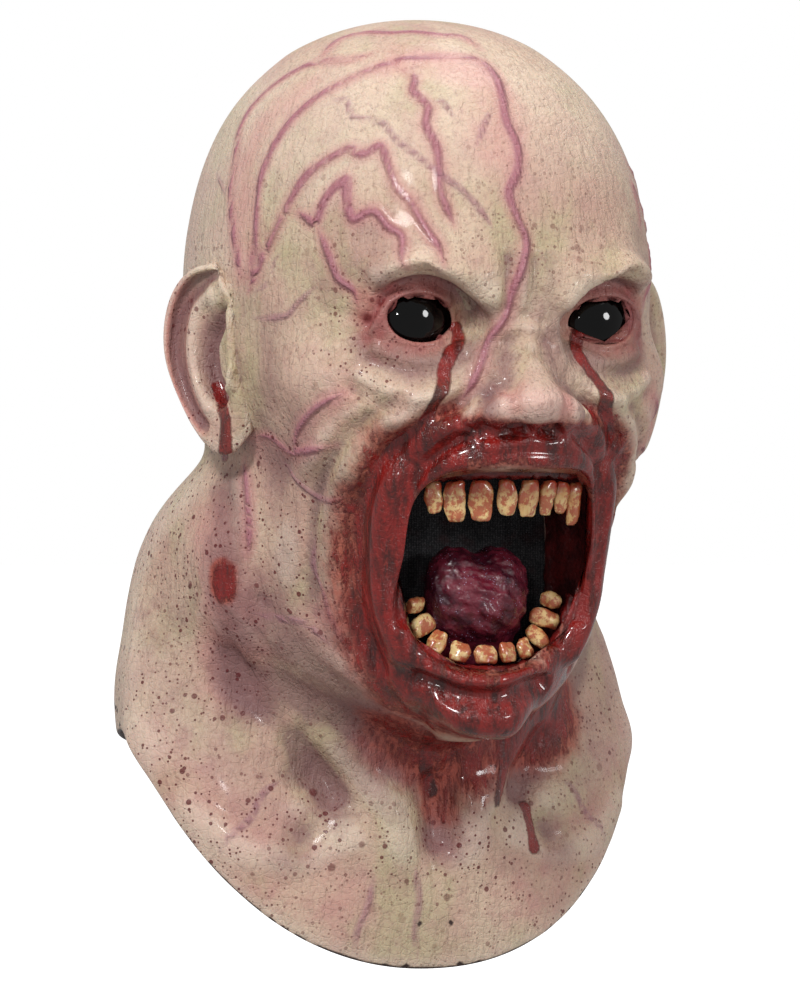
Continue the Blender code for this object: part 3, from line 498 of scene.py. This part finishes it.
# Each stroke: its line on the picture, radius and height in millimetres, and whether the other side has it
# too.
STROKES = [
    # nose: bulb, wings, nostrils, side grooves and the creases over its bridge
    ([(539, 402), (541, 410)], 15, 3.4, False),
    ([(500, 408), (501, 416)], 8, 2.4, True),
    ([(515, 430), (522, 429)], 5.5, -7.5, True),
    ([(487, 396), (481, 412), (486, 430)], 4.5, -1.8, True),
    ([(515, 392), (517, 408)], 4, -0.6, True),
    ([(510, 345), (504, 378)], 10, -2.0, True),
    ([(508, 322), (526, 318), (544, 322)], 3.5, -1.0, False),
    ([(506, 340), (526, 336), (548, 340)], 3.5, -1.0, False),
    ([(508, 357), (527, 353), (546, 356)], 3.5, -0.8, False),
    # brow, frown and lids
    ([(380, 272), (418, 262), (455, 272), (490, 298)], 9, 3.2, True),
    ([(366, 322), (385, 293), (415, 280), (447, 286), (472, 306)], 4.5, -2.4, True),
    ([(372, 330), (388, 302), (415, 291), (443, 297), (462, 314)], 3.5, 1.2, True),
    ([(509, 258), (510, 285), (512, 308)], 5, -1.3, False),
    ([(536, 262), (534, 290), (531, 310)], 5, -1.2, False),
    ([(522, 255), (522, 300)], 6, 1.4, False),
    ([(486, 300), (496, 322), (494, 345)], 5, 1.2, True),
    ([(378, 348), (405, 357), (432, 358), (458, 346)], 4.5, 1.2, True),
    ([(370, 360), (402, 370), (436, 371), (466, 357)], 4.0, -1.2, True),
    ([(360, 376), (400, 392), (440, 392), (476, 376)], 5.0, 1.3, True),
    ([(350, 388), (395, 410), (440, 408), (474, 392)], 5.0, -1.2, True),
    # crow's feet
    ([(364, 322), (345, 314), (322, 311)], 4, -0.7, True),
    ([(364, 332), (342, 334), (318, 338)], 4, -0.7, True),
    ([(364, 342), (345, 352), (325, 364)], 4, -0.7, True),
    # cheek folds round the mouth
    ([(482, 414), (448, 428), (412, 456), (388, 496), (378, 548), (382, 606), (400, 655)], 8, 3.0, True),
    ([(474, 432), (444, 446), (418, 470), (402, 506), (396, 560), (404, 618)], 5.5, -2.6, True),
    ([(462, 404), (425, 424), (386, 456), (362, 500), (354, 552), (358, 612), (378, 668)], 6, -2.4, True),
    ([(440, 396), (400, 416), (362, 450), (336, 500), (330, 560), (340, 630)], 8, 2.0, True),
    ([(400, 402), (350, 432), (322, 480), (310, 530), (312, 590)], 6, -1.6, True),
    ([(352, 420), (306, 462), (290, 520), (288, 580)], 7, 1.2, True),
    # upper lip folds
    ([(490, 448), (520, 443), (552, 444), (578, 450)], 4, 1.4, False),
    ([(480, 438), (520, 434), (560, 436)], 3, -1.2, False),
    # chin: crease, ball and its side creases
    ([(420, 680), (455, 693), (500, 696), (545, 684)], 6, -4.5, False),
    ([(470, 718), (505, 721)], 19, 6.5, False),
    ([(424, 698), (416, 714), (426, 734)], 6, -2.0, False),
    ([(400, 632), (420, 662), (462, 679), (515, 676), (550, 654)], 6, 1.6, False),
    ([(366, 640), (386, 690), (412, 726)], 6, -1.8, False),
    # ear: fold inside the rim, and the bowl
    ([(212, 276), (192, 286), (178, 318), (176, 360), (188, 402), (203, 426)], 4.2, -3.6, True),
    ([(212, 296), (198, 312), (193, 345), (197, 380), (210, 408)], 5.0, 2.6, True),
    ([(220, 318), (212, 345), (214, 378), (222, 396)], 6.5, -5.0, True),
    ([(226, 300), (218, 316)], 4.0, -2.0, True),
    ([(232, 372), (230, 388)], 4.0, 2.2, True),
    # neck: folds, cords and the hollow over the breastbone
    ([(262, 600), (300, 650), (350, 690), (400, 722)], 6, -1.6, True),
    ([(245, 640), (285, 700), (330, 750), (372, 800)], 8, 1.8, True),
    ([(330, 711), (360, 765), (393, 812)], 9, 2.2, True),
    ([(471, 745), (470, 790)], 8, 1.4, False),
    ([(432, 785), (438, 812), (440, 836)], 11, -3.2, False),
    ([(300, 742), (330, 792)], 10, -2.0, True),
    ([(330, 800), (300, 845)], 9, -1.8, True),
    ([(404, 740), (410, 772), (418, 800)], 5, -1.2, False),
    ([(452, 735), (452, 768), (448, 800)], 5, -1.0, False),
    ([(350, 842), (300, 858), (240, 850), (190, 812)], 10, 1.6, True),
    # wound: raised ragged flesh, then the hole
    ([(223, 550), (223, 610)], 19, 4.0, False),
    ([(212, 566), (222, 556), (234, 566), (236, 590), (226, 604), (212, 596), (210, 578), (212, 566)],
     4, 2.2, False),
    ([(223, 574), (223, 588)], 5.0, -8.5, False),
    ([(232, 600), (246, 625), (250, 655)], 5, 1.6, False),
    ([(208, 600), (202, 630), (208, 660)], 5, 1.6, False),
    ([(220, 604), (224, 640), (228, 672)], 5, 1.4, False),
    ([(236, 480), (240, 530), (238, 556)], 5, 1.2, False),
]
points = points_of(skin)
for pixels, radius, height, both in STROKES:
    places, facings = cast(pixels)
    points = press(points, places, facings, radius * MILLIMETRE, height * MILLIMETRE)
    if both:
        points = press(points, *mirrored(places), radius * MILLIMETRE, height * MILLIMETRE)
inner_points = np.array([any(g.group == 0 for g in v.groups) for v in skin.data.vertices])
# the thinned inner side is set back from the outer one, so that it never shows through
points[inner_points] += normals_of(skin)[inner_points] * INNER_SET_BACK
put_points(skin, points)
print("strokes", len(STROKES))

# %% [markdown]
# Veins and blood follow lines on the picture too. The distance from each point of the skin to the nearest
# line is stored on the mesh, because a distance stays crisp in a shader even where the mesh is coarse.

# %% Vein and blood lines
VEINS = [
    [(241, 277), (234, 232), (231, 193), (236, 156), (243, 122), (264, 94), (292, 73), (319, 62), (350, 60),
     (373, 53)],
    [(319, 60), (337, 41), (363, 33), (389, 33), (415, 32), (441, 35), (462, 37), (481, 49)],
    [(251, 279), (256, 232), (258, 193), (269, 156), (290, 122), (319, 96), (347, 81), (373, 69), (402, 60),
     (428, 57), (457, 57), (481, 62), (496, 78), (502, 96), (506, 120), (517, 146), (517, 172), (509, 193),
     (517, 217), (526, 240), (523, 266), (512, 292), (504, 319), (489, 339), (481, 363), (470, 387),
     (460, 400)],
    [(248, 292), (264, 256), (279, 224), (292, 198), (305, 177), (321, 164), (337, 154), (350, 149),
     (363, 155),
     (380, 146), (389, 167), (397, 188), (410, 201), (423, 224), (439, 248), (444, 264)],
    [(290, 209), (305, 217), (316, 222), (324, 201), (337, 185), (347, 180), (347, 198), (353, 219),
     (373, 211),
     (389, 227), (402, 237), (402, 261), (409, 269)],
    [(316, 225), (324, 243), (332, 264), (339, 279), (353, 290), (358, 305)],
    [(402, 69), (415, 78), (413, 91), (428, 107), (426, 125), (436, 146), (439, 167), (441, 193),
     (455, 227)],
    [(247, 439), (270, 437), (288, 451), (305, 451), (335, 445)],
    [(293, 451), (299, 428), (317, 407), (343, 393)],
    [(244, 457), (247, 489), (250, 533), (247, 557)],
]
FINE_VEINS = [
    [(316, 107), (345, 100), (353, 117), (381, 122), (397, 141), (415, 154), (441, 175), (462, 190),
     (481, 211),
     (494, 230)],
    [(423, 99), (441, 101), (452, 115), (460, 125)],
    [(497, 99), (489, 115), (483, 128), (473, 154)],
    [(251, 319), (285, 316), (298, 303), (319, 283)],
    [(211, 167), (224, 188), (231, 210)],
    [(251, 292), (266, 285), (272, 266), (282, 251)],
    [(282, 457), (299, 483), (329, 501), (355, 492)],
    [(317, 533), (314, 563), (323, 592), (332, 621), (349, 651)],
    [(253, 613), (276, 618), (305, 624), (335, 648)],
    [(414, 861), (419, 900), (415, 930), (418, 961)],
    [(375, 872), (368, 905), (358, 930), (352, 961)],
    [(282, 779), (262, 795), (250, 819), (228, 838), (218, 856)],
]
BLOOD_TEARS = [
    [(456, 328), (458, 342), (450, 354), (444, 371), (442, 391), (429, 413), (423, 434), (413, 450),
     (407, 471)],
    [(580, 322), (576, 348), (584, 364), (597, 381), (607, 395), (605, 413), (608, 430), (611, 446),
     (612, 464)],
    [(217, 388), (225, 416), (225, 456)],
    [(525, 806), (530, 826), (534, 847)],
    [(430, 735), (425, 760), (431, 790)],
    [(500, 736), (505, 765), (498, 800)],
]

FAR_SIDE = 0.060
surface = surface_of(skin)
points = points_of(skin)


def line_gaps(lines, both, reach, taper=0.0):
    """Each point's distance to the lines, in millimetres.

    A tapered line seems further away near its ends. A mirrored one keeps off the middle of the face.
    """
    found, extra = [], []
    for line in lines:
        places, _ = cast(line, 1.5)
        sets = [places]
        if both:
            sets.append(mirrored([place for place in places if place.x < -FAR_SIDE])[0])
        for one in sets:
            found += one
            extra += [taper * max(0, 1 - min(k, len(one) - 1 - k) / 14) for k in range(len(one))]
    tree = tree_of(found)
    hits = [tree.find(p) for p in points]
    return np.array([min(hit[2] / MILLIMETRE + extra[hit[1]], reach) for hit in hits])


def gaps(tree, reach):
    """Each point's distance to the tree in millimetres, no more than reach."""
    return np.array([min(tree.find(p)[2] / MILLIMETRE, reach) for p in points])


vein_gap = line_gaps(VEINS, True, 12, 2.2)
fine_gap = line_gaps(FINE_VEINS, True, 12, 1.8)
tear_gap = line_gaps(BLOOD_TEARS, False, 20)
lip_gap = gaps(tree_of([v.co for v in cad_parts["mouth_lining"].data.vertices]), 60)
eye_nodes = (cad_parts["eye_right"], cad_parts["eye_left"])
eye_gap = gaps(tree_of([v.co for node in eye_nodes for v in node.data.vertices]), 40)
found_gaps = {"vein": vein_gap, "fine_vein": fine_gap, "tear": tear_gap, "lip": lip_gap, "eye": eye_gap}
for name, values in found_gaps.items():
    store(skin, name, values)
print("lines", len(VEINS) + len(FINE_VEINS) + len(BLOOD_TEARS))

# %% [markdown]
# Airbrushed colour has soft edges, and so has the shade painted under the chin and jaw and into the hollows.
# Each patch is a line with a radius, full in the middle and fading outwards.

# %% Airbrushed patches and painted shade
# Each patch: its line on the picture, radius in millimetres, strength, and whether the other side has it.
GORE = [
    ([(420, 690), (450, 714), (490, 726), (545, 712)], 32, 1.0, False),
    ([(445, 446), (410, 466), (388, 500), (380, 560), (388, 630), (424, 690)], 21, 1.0, True),
    ([(430, 452), (480, 440), (545, 440), (596, 456)], 15, 1.0, False),
    ([(390, 440), (360, 500), (352, 560), (360, 630), (392, 700)], 17, 0.50, False),
    ([(400, 730), (440, 752), (470, 760)], 26, 0.55, False),
    ([(430, 760), (440, 800)], 16, 0.45, False),
    ([(223, 573), (223, 589)], 8, 0.85, False),
]
# painted shade: dark patches under the chin and jaw, in the neck hollows, eye sockets, nostrils, ear bowl
# and the wound's hole, standing in for shadow
PAINTED_SHADE = [
    ([(385, 735), (450, 750), (520, 740)], 34, 1.0, False),
    ([(250, 600), (300, 655), (350, 700), (400, 740)], 24, 0.75, True),
    ([(436, 785), (440, 836)], 20, 0.9, False),
    ([(345, 720), (365, 765), (395, 805)], 12, 0.55, True),
    ([(318, 765), (334, 806)], 18, 0.75, True),
    ([(300, 832), (290, 855)], 16, 0.55, True),
    ([(376, 328), (400, 290), (450, 286), (484, 312)], 11, 0.9, True),
    ([(372, 345), (420, 362), (470, 352)], 12, 0.8, True),
    ([(500, 320), (494, 365)], 11, 0.6, True),
    ([(512, 262), (516, 310)], 8, 0.45, True),
    ([(490, 392), (484, 430)], 7, 0.8, True),
    ([(512, 430), (530, 437), (552, 434)], 6, 1.0, False),
    ([(335, 500), (322, 560), (334, 640)], 16, 0.5, True),
    ([(300, 430), (285, 500), (290, 570)], 16, 0.4, True),
    ([(228, 490), (226, 560), (236, 640), (244, 700)], 18, 0.8, False),
    ([(223, 574), (223, 590)], 5, 1.0, False),
    ([(222, 320), (213, 350), (220, 392)], 9, 1.0, True),
    ([(212, 280), (180, 318), (178, 362), (204, 424)], 4, 0.9, True),
    ([(345, 225), (380, 250), (330, 270)], 18, 0.4, True),
    ([(250, 300), (270, 350), (262, 420)], 16, 0.45, True),
    ([(160, 620), (190, 720), (260, 800)], 22, 0.35, True),
]
ROSY = [
    ([(400, 60), (480, 80), (500, 150)], 20, 0.7, False),
    ([(300, 90), (250, 150), (240, 260)], 16, 0.75, True),
    ([(176, 300), (168, 360), (200, 445)], 16, 1.0, True),
    ([(500, 400), (545, 405)], 14, 0.8, True),
    ([(210, 530), (228, 600), (240, 680)], 24, 0.9, False),
    ([(300, 380), (340, 420)], 24, 0.35, True),
    ([(150, 760), (240, 830), (330, 900)], 30, 0.5, True),
    ([(330, 620), (380, 700), (430, 760)], 24, 0.75, True),
    ([(260, 450), (300, 452), (345, 400)], 12, 0.6, True),
]


def airbrush(patches):
    total = np.zeros(len(points))
    for line, radius, strength, both in patches:
        places, _ = cast(line)
        if both:
            places = places + mirrored(places)[0]
        gap = gaps(tree_of(places), radius)
        total = np.maximum(total, strength * (1 - (gap / radius) ** 2) ** 1.5)
    return total


for name, patches in (("gore", GORE), ("painted_shade", PAINTED_SHADE), ("rosy", ROSY)):
    store(skin, name, airbrush(patches))

# %% [markdown]
# The veins stand a little proud of the skin. The hollows are found by smoothing the mesh many times: where
# the smoothed surface lies outside the real one, shade is painted into the colour; on ridges, a highlight.

# %% Raise the veins and find the hollows
VEIN_HALF_WIDTH = 2.0
FINE_VEIN_HALF_WIDTH = 1.4
HEM_SECTORS = 240
HEM_TOP = -0.25
normals = normals_of(skin)
raised = np.clip(1 - (vein_gap / VEIN_HALF_WIDTH) ** 2, 0, 1) ** 2 * 0.7
raised = raised + np.clip(1 - (fine_gap / FINE_VEIN_HALF_WIDTH) ** 2, 0, 1) ** 2 * 0.35
outer = (normals * outwards(points)).sum(1) > 0
points[outer] += normals[outer] * (raised[outer] * MILLIMETRE)[:, None]
put_points(skin, points)

normals = normals_of(skin)
softened = points
for _ in range(12):
    softened = neighbour_mean(skin, softened)
hollow = ((softened - points) * normals).sum(1) / MILLIMETRE
for _ in range(3):
    hollow = neighbour_mean(skin, hollow)
store(skin, "hollow", np.clip(hollow, -2, 2))

angles = np.arctan2(points[:, 0], points[:, 1] - 0.05)
bins = ((angles + math.pi) / (2 * math.pi) * HEM_SECTORS).astype(int) % HEM_SECTORS
hem = []
for number in range(HEM_SECTORS):
    members = np.where((bins == number) & (points[:, 2] < HEM_TOP))[0]
    if len(members):
        hem.append(points[members[np.argmin(points[members, 2])]])
store(skin, "hem", gaps(tree_of(hem), 30))
print("hollow range", round(float(hollow.min()), 3), round(float(hollow.max()), 3))

# %% [markdown]
# The latex is pale flesh airbrushed in layers: yellow-green and pink clouds, pink veins, dark red flicked
# speckles, and blood round the mouth that is glossier than the skin. Purple-grey shade is painted into the
# hollows and under the chin, and a pale highlight onto the ridges.

# %% Skin finish
BLOOD_DARK = (0.065, 0.004, 0.004)
# flicked speckles, by size in metres: reach of a spot in its cell, and how few cells have one
SPECKLES = [(0.0022, 0.19, 0.62), (0.0042, 0.16, 0.60), (0.0075, 0.13, 0.50), (0.016, 0.09, 0.45)]


def skin_finish():
    f = Finish(
        "latex_skin_paint",
        Subsurface_Weight=0.06,
        Subsurface_Scale=0.003,
        Coat_Roughness=0.10,
        Specular_IOR_Level=0.32,
    )
    f.shader.inputs["Subsurface Radius"].default_value = (1.0, 0.35, 0.2)
    clouds = f.noise(0.045, 4.0, 0.6)
    mottle = f.noise(0.012, 5.0, 0.65)
    fine = f.noise(0.0018, 4.0, 0.7)
    ragged = f.noise(0.009, 5.0, 0.7)
    colour = f.mix(clouds.step(0.35, 0.65), (0.66, 0.50, 0.365), (0.58, 0.375, 0.29))
    sallow = f.noise(0.03, 3.0, stretch=(1, 1, 0.7)).step(0.46, 0.66)
    colour = f.mix(sallow * 0.7, colour, (0.50, 0.43, 0.25))
    colour = f.mix(mottle.step(0.45, 0.75) * 0.5, colour, (0.50, 0.29, 0.25))
    colour = f.mix(fine.step(0.47, 0.70) * 0.55, colour, (0.34, 0.20, 0.16))
    rosy, painted_shade, gore = f.painted("rosy"), f.painted("painted_shade"), f.painted("gore")
    colour = f.mix((rosy + mottle * 0.7 - 0.35).step(0.05, 1.0) * 0.75, colour, (0.60, 0.26, 0.24))
    hollow = f.painted("hollow")
    # painted shade: the hollows darkened
    colour = f.mix((hollow + fine * 0.3 - 0.15).step(0.04, 0.75) * 0.72, colour, (0.23, 0.125, 0.12))
    # painted highlight: the ridges lightened
    colour = f.mix((-1 * hollow).step(0.12, 0.8) * 0.35, colour, (0.86, 0.72, 0.60))
    # painted shade from the shade patches, mottled
    colour = f.mix((painted_shade + mottle * 0.6 - 0.3).step(0.0, 1.0) * 0.80, colour, (0.22, 0.105, 0.105))
    vein, fine_vein = f.painted("vein"), f.painted("fine_vein")
    wobble = f.noise(0.006, 3.0) * 1.6 - 0.8
    colour = f.mix((vein + wobble).step(6.0, 0.8) * 0.60, colour, (0.52, 0.22, 0.22))
    thick = f.noise(0.03, 2.0) * 3.0 - 0.6
    colour = f.mix((vein + wobble * 0.5 - thick).step(1.6, -0.4) * 0.80, colour, (0.36, 0.12, 0.165))
    colour = f.mix((vein + wobble * 0.3).step(0.9, 0.1) * 0.40, colour, (0.56, 0.27, 0.30))
    colour = f.mix((fine_vein + wobble * 0.6).step(2.6, 0.3) * 0.65, colour, (0.33, 0.14, 0.18))
    # eye rims are raw and pink
    eye, lip, tear = f.painted("eye"), f.painted("lip"), f.painted("tear")
    colour = f.mix((eye + mottle * 6).step(13, 4.0) * 0.80, colour, (0.36, 0.075, 0.075))
    colour = f.mix((eye + ragged * 2).step(4.2, 2.6) * 0.85, colour, (0.14, 0.012, 0.012))
    # blood on the lips, over the chin and running down
    streak = f.noise(0.006, 5.0, 0.65, stretch=(1, 1, 0.25))
    threads = f.noise(0.0022, 4.0, 0.65, stretch=(1, 1, 0.30))
    tint = (gore + ragged * 0.5 - 0.25).step(0.0, 0.5)
    tinted = f.mix(threads.step(0.35, 0.65), (0.42, 0.085, 0.055), (0.22, 0.022, 0.016))
    colour = f.mix(tint * 0.88, colour, tinted)
    smear = (gore + streak * 1.0 + threads * 0.9 - 0.95).step(0.30, 0.66)
    wet = (lip + ragged * 5 - 2.5).step(12.0, 6.0)
    tears = (tear + (ragged * 3.2 - 1.6)).step(3.3, 2.2)
    blood = smear.most(wet).most(tears)
    # flicked speckles: four sizes, thick in some patches
    patches = f.noise(0.06, 2.0).step(0.35, 0.60)
    drops = None
    for size, reach, crowd in SPECKLES:
        near = f.cells(size)
        lot = f.node("ShaderNodeSeparateColor", {0: f.cells(size, output="Color")}, 0)
        spot = (near + ragged * 0.08).step(reach + 0.08, reach + 0.03) * lot.step(crowd, crowd - 0.04)
        drops = drops.most(spot) if drops else spot
    height = f.node("ShaderNodeSeparateXYZ", {0: f.place}, 2)
    drops = drops * (patches * 0.7 + 0.3) * (height.step(-0.03, -0.16) * 0.75 + 0.25)
    blood_colour = f.mix(streak.step(0.35, 0.62), (0.045, 0.0015, 0.0015), (0.235, 0.006, 0.005))
    blood_colour = f.mix(threads.step(0.52, 0.68) * 0.45, blood_colour, (0.40, 0.030, 0.018))
    colour = f.mix(drops * 0.88, colour, (0.12, 0.010, 0.012))
    colour = f.mix(blood * 0.95, colour, blood_colour)
    hem = f.painted("hem")
    colour = f.mix((hem + ragged * 1.6).step(2.4, 1.4), colour, (0.045, 0.022, 0.018))
    rough = f.noise(0.02, 3.0) * 0.16 + 0.40 - blood * 0.24 - drops * 0.1
    # relief: pores, creased rubber, raised veins and drops of blood
    creases = f.cells(0.0045, "DISTANCE_TO_EDGE", stretch=(1.0, 1.0, 1.5))
    relief = f.noise(0.0011, 3.0) * 0.20 + creases.step(0.0, 0.12) * 0.14 + f.noise(0.004, 4.0, 0.65) * 0.55
    relief = relief + (vein + wobble * 0.2).step(2.4, 0.2) * 1.3
    relief = relief + (fine_vein + wobble * 0.2).step(1.6, 0.1) * 0.8
    wrinkles = f.noise(0.0035, 4.0, 0.6, stretch=(1.0, 1.0, 0.28))
    relief = relief + drops * 0.25 + blood * (ragged * 1.2 + streak * 0.9) + wrinkles.step(0.40, 0.62) * 0.45
    normal = f.bump(relief, 0.0009, 0.9)
    return f.link(Base_Color=colour, Roughness=rough, Normal=normal, Coat_Weight=blood * 0.60 + 0.10)


skin.data.materials.append(skin_finish())

# %% [markdown]
# The eyes are domes of black resin, polished so that they mirror the lamps.

# %% Eyes


def eye_finish():
    f = Finish("black_eye_resin", Specular_IOR_Level=0.30)
    colour = f.mix(f.noise(0.01, 3.0).step(0.4, 0.7), (0.0005, 0.0005, 0.0006), (0.0016, 0.001, 0.001))
    return f.link(Base_Color=colour, Roughness=f.noise(0.004, 3.0) * 0.04 + 0.03)


eye_paint = eye_finish()
for side in ("right", "left"):
    eye = copied(f"eye_{side}", f"eye_{side}_dome", 2)
    eye.data.materials.append(eye_paint)

# %% [markdown]
# Inside the mouth the latex is dark flesh. Small waves along the normals make it look hand-made, and a wet
# coat catches the light on it. Tiny light specks are also painted into its colour as glints.

# %% Mouth lining, gums and tongue


def ripple(piece, size, height, seed):
    """Moves points along their normals by a few seeded sine waves."""
    rows, facing = points_of(piece), normals_of(piece)
    rng = np.random.default_rng(seed)
    total = np.zeros(len(rows))
    for octave in range(5):
        wave = rng.normal(size=3)
        wave /= np.linalg.norm(wave)
        phase = rows @ wave * 2 * math.pi / size * 1.35**octave + rng.uniform(0, 6.28)
        total += np.sin(phase) * 0.75**octave
    put_points(piece, rows + facing * (total * height / 2)[:, None])


def flesh_finish(name, dark, light, glint_colour, roughness):
    f = Finish(name, Coat_Weight=0.35, Coat_Roughness=0.06, Specular_IOR_Level=0.4)
    colour = f.mix(f.noise(0.009, 5.0, 0.65).step(0.35, 0.68), dark, light)
    # painted glints: tiny light specks in patches, as on wet flesh
    painted_glint = f.cells(0.0011).step(0.24, 0.10) * f.noise(0.006, 3.0).step(0.45, 0.60)
    colour = f.mix(painted_glint * 0.7, colour, glint_colour)
    colour = f.mix(f.noise(0.004, 4.0).step(0.55, 0.72) * 0.6, colour, BLOOD_DARK)
    relief = f.noise(0.003, 5.0, 0.7) + f.cells(0.0018) * 0.4
    normal = f.bump(relief, 0.0008, 0.9)
    return f.link(Base_Color=colour, Roughness=f.noise(0.004, 3.0) * 0.2 + roughness, Normal=normal)


flesh = flesh_finish(
    "mouth_flesh_paint", (0.030, 0.004, 0.005), (0.12, 0.010, 0.010), (0.20, 0.03, 0.03), 0.22
)
lining = copied("mouth_lining", "mouth_lining_flesh", 2)
ripple(lining, 0.014, 0.0009, 3)
gum_paint = flesh_finish("gum_paint", (0.060, 0.004, 0.005), (0.24, 0.016, 0.014), (0.34, 0.06, 0.05), 0.16)
upper_gum = copied("upper_gum", "upper_gum_flesh", 2)
lower_gum = copied("lower_gum", "lower_gum_flesh", 2)
for gum, seed in ((upper_gum, 5), (lower_gum, 6)):
    ripple(gum, 0.006, 0.0007, seed)
for piece, paint in ((lining, flesh), (upper_gum, gum_paint), (lower_gum, gum_paint)):
    piece.data.materials.append(paint)

FURROW_WIDTH = 0.0045
FURROW_DEPTH = 0.0032
tongue = copied("tongue", "tongue_flesh", 3)
rows, facing = points_of(tongue), normals_of(tongue)
upward = np.clip(facing[:, 2] * 0.6 + 0.5 - facing[:, 1] * 0.4, 0, 1)
furrow = np.exp(-((rows[:, 0] / FURROW_WIDTH) ** 2)) * upward
rows[:, 2] -= furrow * FURROW_DEPTH
put_points(tongue, rows)
ripple(tongue, 0.007, 0.0006, 9)
tongue.data.materials.append(
    flesh_finish("tongue_paint", (0.040, 0.004, 0.012), (0.17, 0.014, 0.030), (0.50, 0.40, 0.62), 0.14)
)

# %% [markdown]
# The teeth are cast apart, long and worn. Each copy gets its own ripple, and its stains grow towards the
# gum.

# %% Teeth


def tooth_finish(name, root, tip):
    """Ivory resin, stained where the tooth meets the gum."""
    f = Finish(name, Coat_Weight=0.5, Coat_Roughness=0.1, Subsurface_Weight=0.1, Subsurface_Scale=0.002)
    height = f.node("ShaderNodeSeparateXYZ", {0: f.place}, 2)
    grain = f.noise(0.005, 4.0, 0.6, stretch=(1, 1, 0.35))
    colour = f.mix(grain.step(0.35, 0.70), (0.80, 0.58, 0.27), (0.62, 0.33, 0.11))
    stain = (height + (f.noise(0.006, 4.0) - 0.5) * 0.012).step(tip, root)
    colour = f.mix(stain * 0.9, colour, (0.24, 0.030, 0.012))
    spots = f.noise(0.0038, 4.0, 0.7).step(0.43, 0.54)
    colour = f.mix(spots * 0.80, colour, (0.38, 0.030, 0.012))
    relief = grain * 0.6 + f.noise(0.0012, 3.0) * 0.3
    return f.link(Base_Color=colour, Roughness=grain * 0.2 + 0.18, Normal=f.bump(relief, 0.0006, 0.8))


low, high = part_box("upper_tooth_4")
upper_paint = tooth_finish("upper_tooth_paint", high.z + 0.001, low.z + 0.004)
low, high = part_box("lower_tooth_5")
lower_paint = tooth_finish("lower_tooth_paint", low.z - 0.001, high.z - 0.002)
for row, count, paint in (("upper", 8, upper_paint), ("lower", 10, lower_paint)):
    for number in range(1, count + 1):
        tooth = copied(f"{row}_tooth_{number}", f"{row}_tooth_{number}_worn", 2)
        ripple(tooth, 0.008, 0.0005, number + count)
        tooth.data.materials.append(paint)

# %% [markdown]
# The throat is closed by a panel of dark knitted cloth. Its CAD node has the right shape, so it only gets a
# finish: rows of small stitches.

# %% Throat cloth


def cloth_finish():
    f = Finish("throat_cloth_knit", Sheen_Weight=0.3, Specular_IOR_Level=0.15)
    stitches = f.cells(0.0011, jitter=0.3, stretch=(1.0, 1.0, 1.6))
    colour = f.mix(stitches.step(0.55, 0.15), (0.012, 0.012, 0.014), (0.075, 0.070, 0.075))
    colour = f.mix(f.noise(0.01, 3.0).step(0.5, 0.75) * 0.5, colour, (0.05, 0.008, 0.008))
    normal = f.bump(1 - stitches, 0.0006)
    return f.link(Base_Color=colour, Roughness=f.noise(0.01) * 0.1 + 0.8, Normal=normal)


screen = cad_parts["throat_screen"]
screen.data.materials.clear()
screen.data.materials.append(cloth_finish())

# %% Sizes, and the end
low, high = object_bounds()
print("box", [round(v, 4) for v in (*low, *high)])
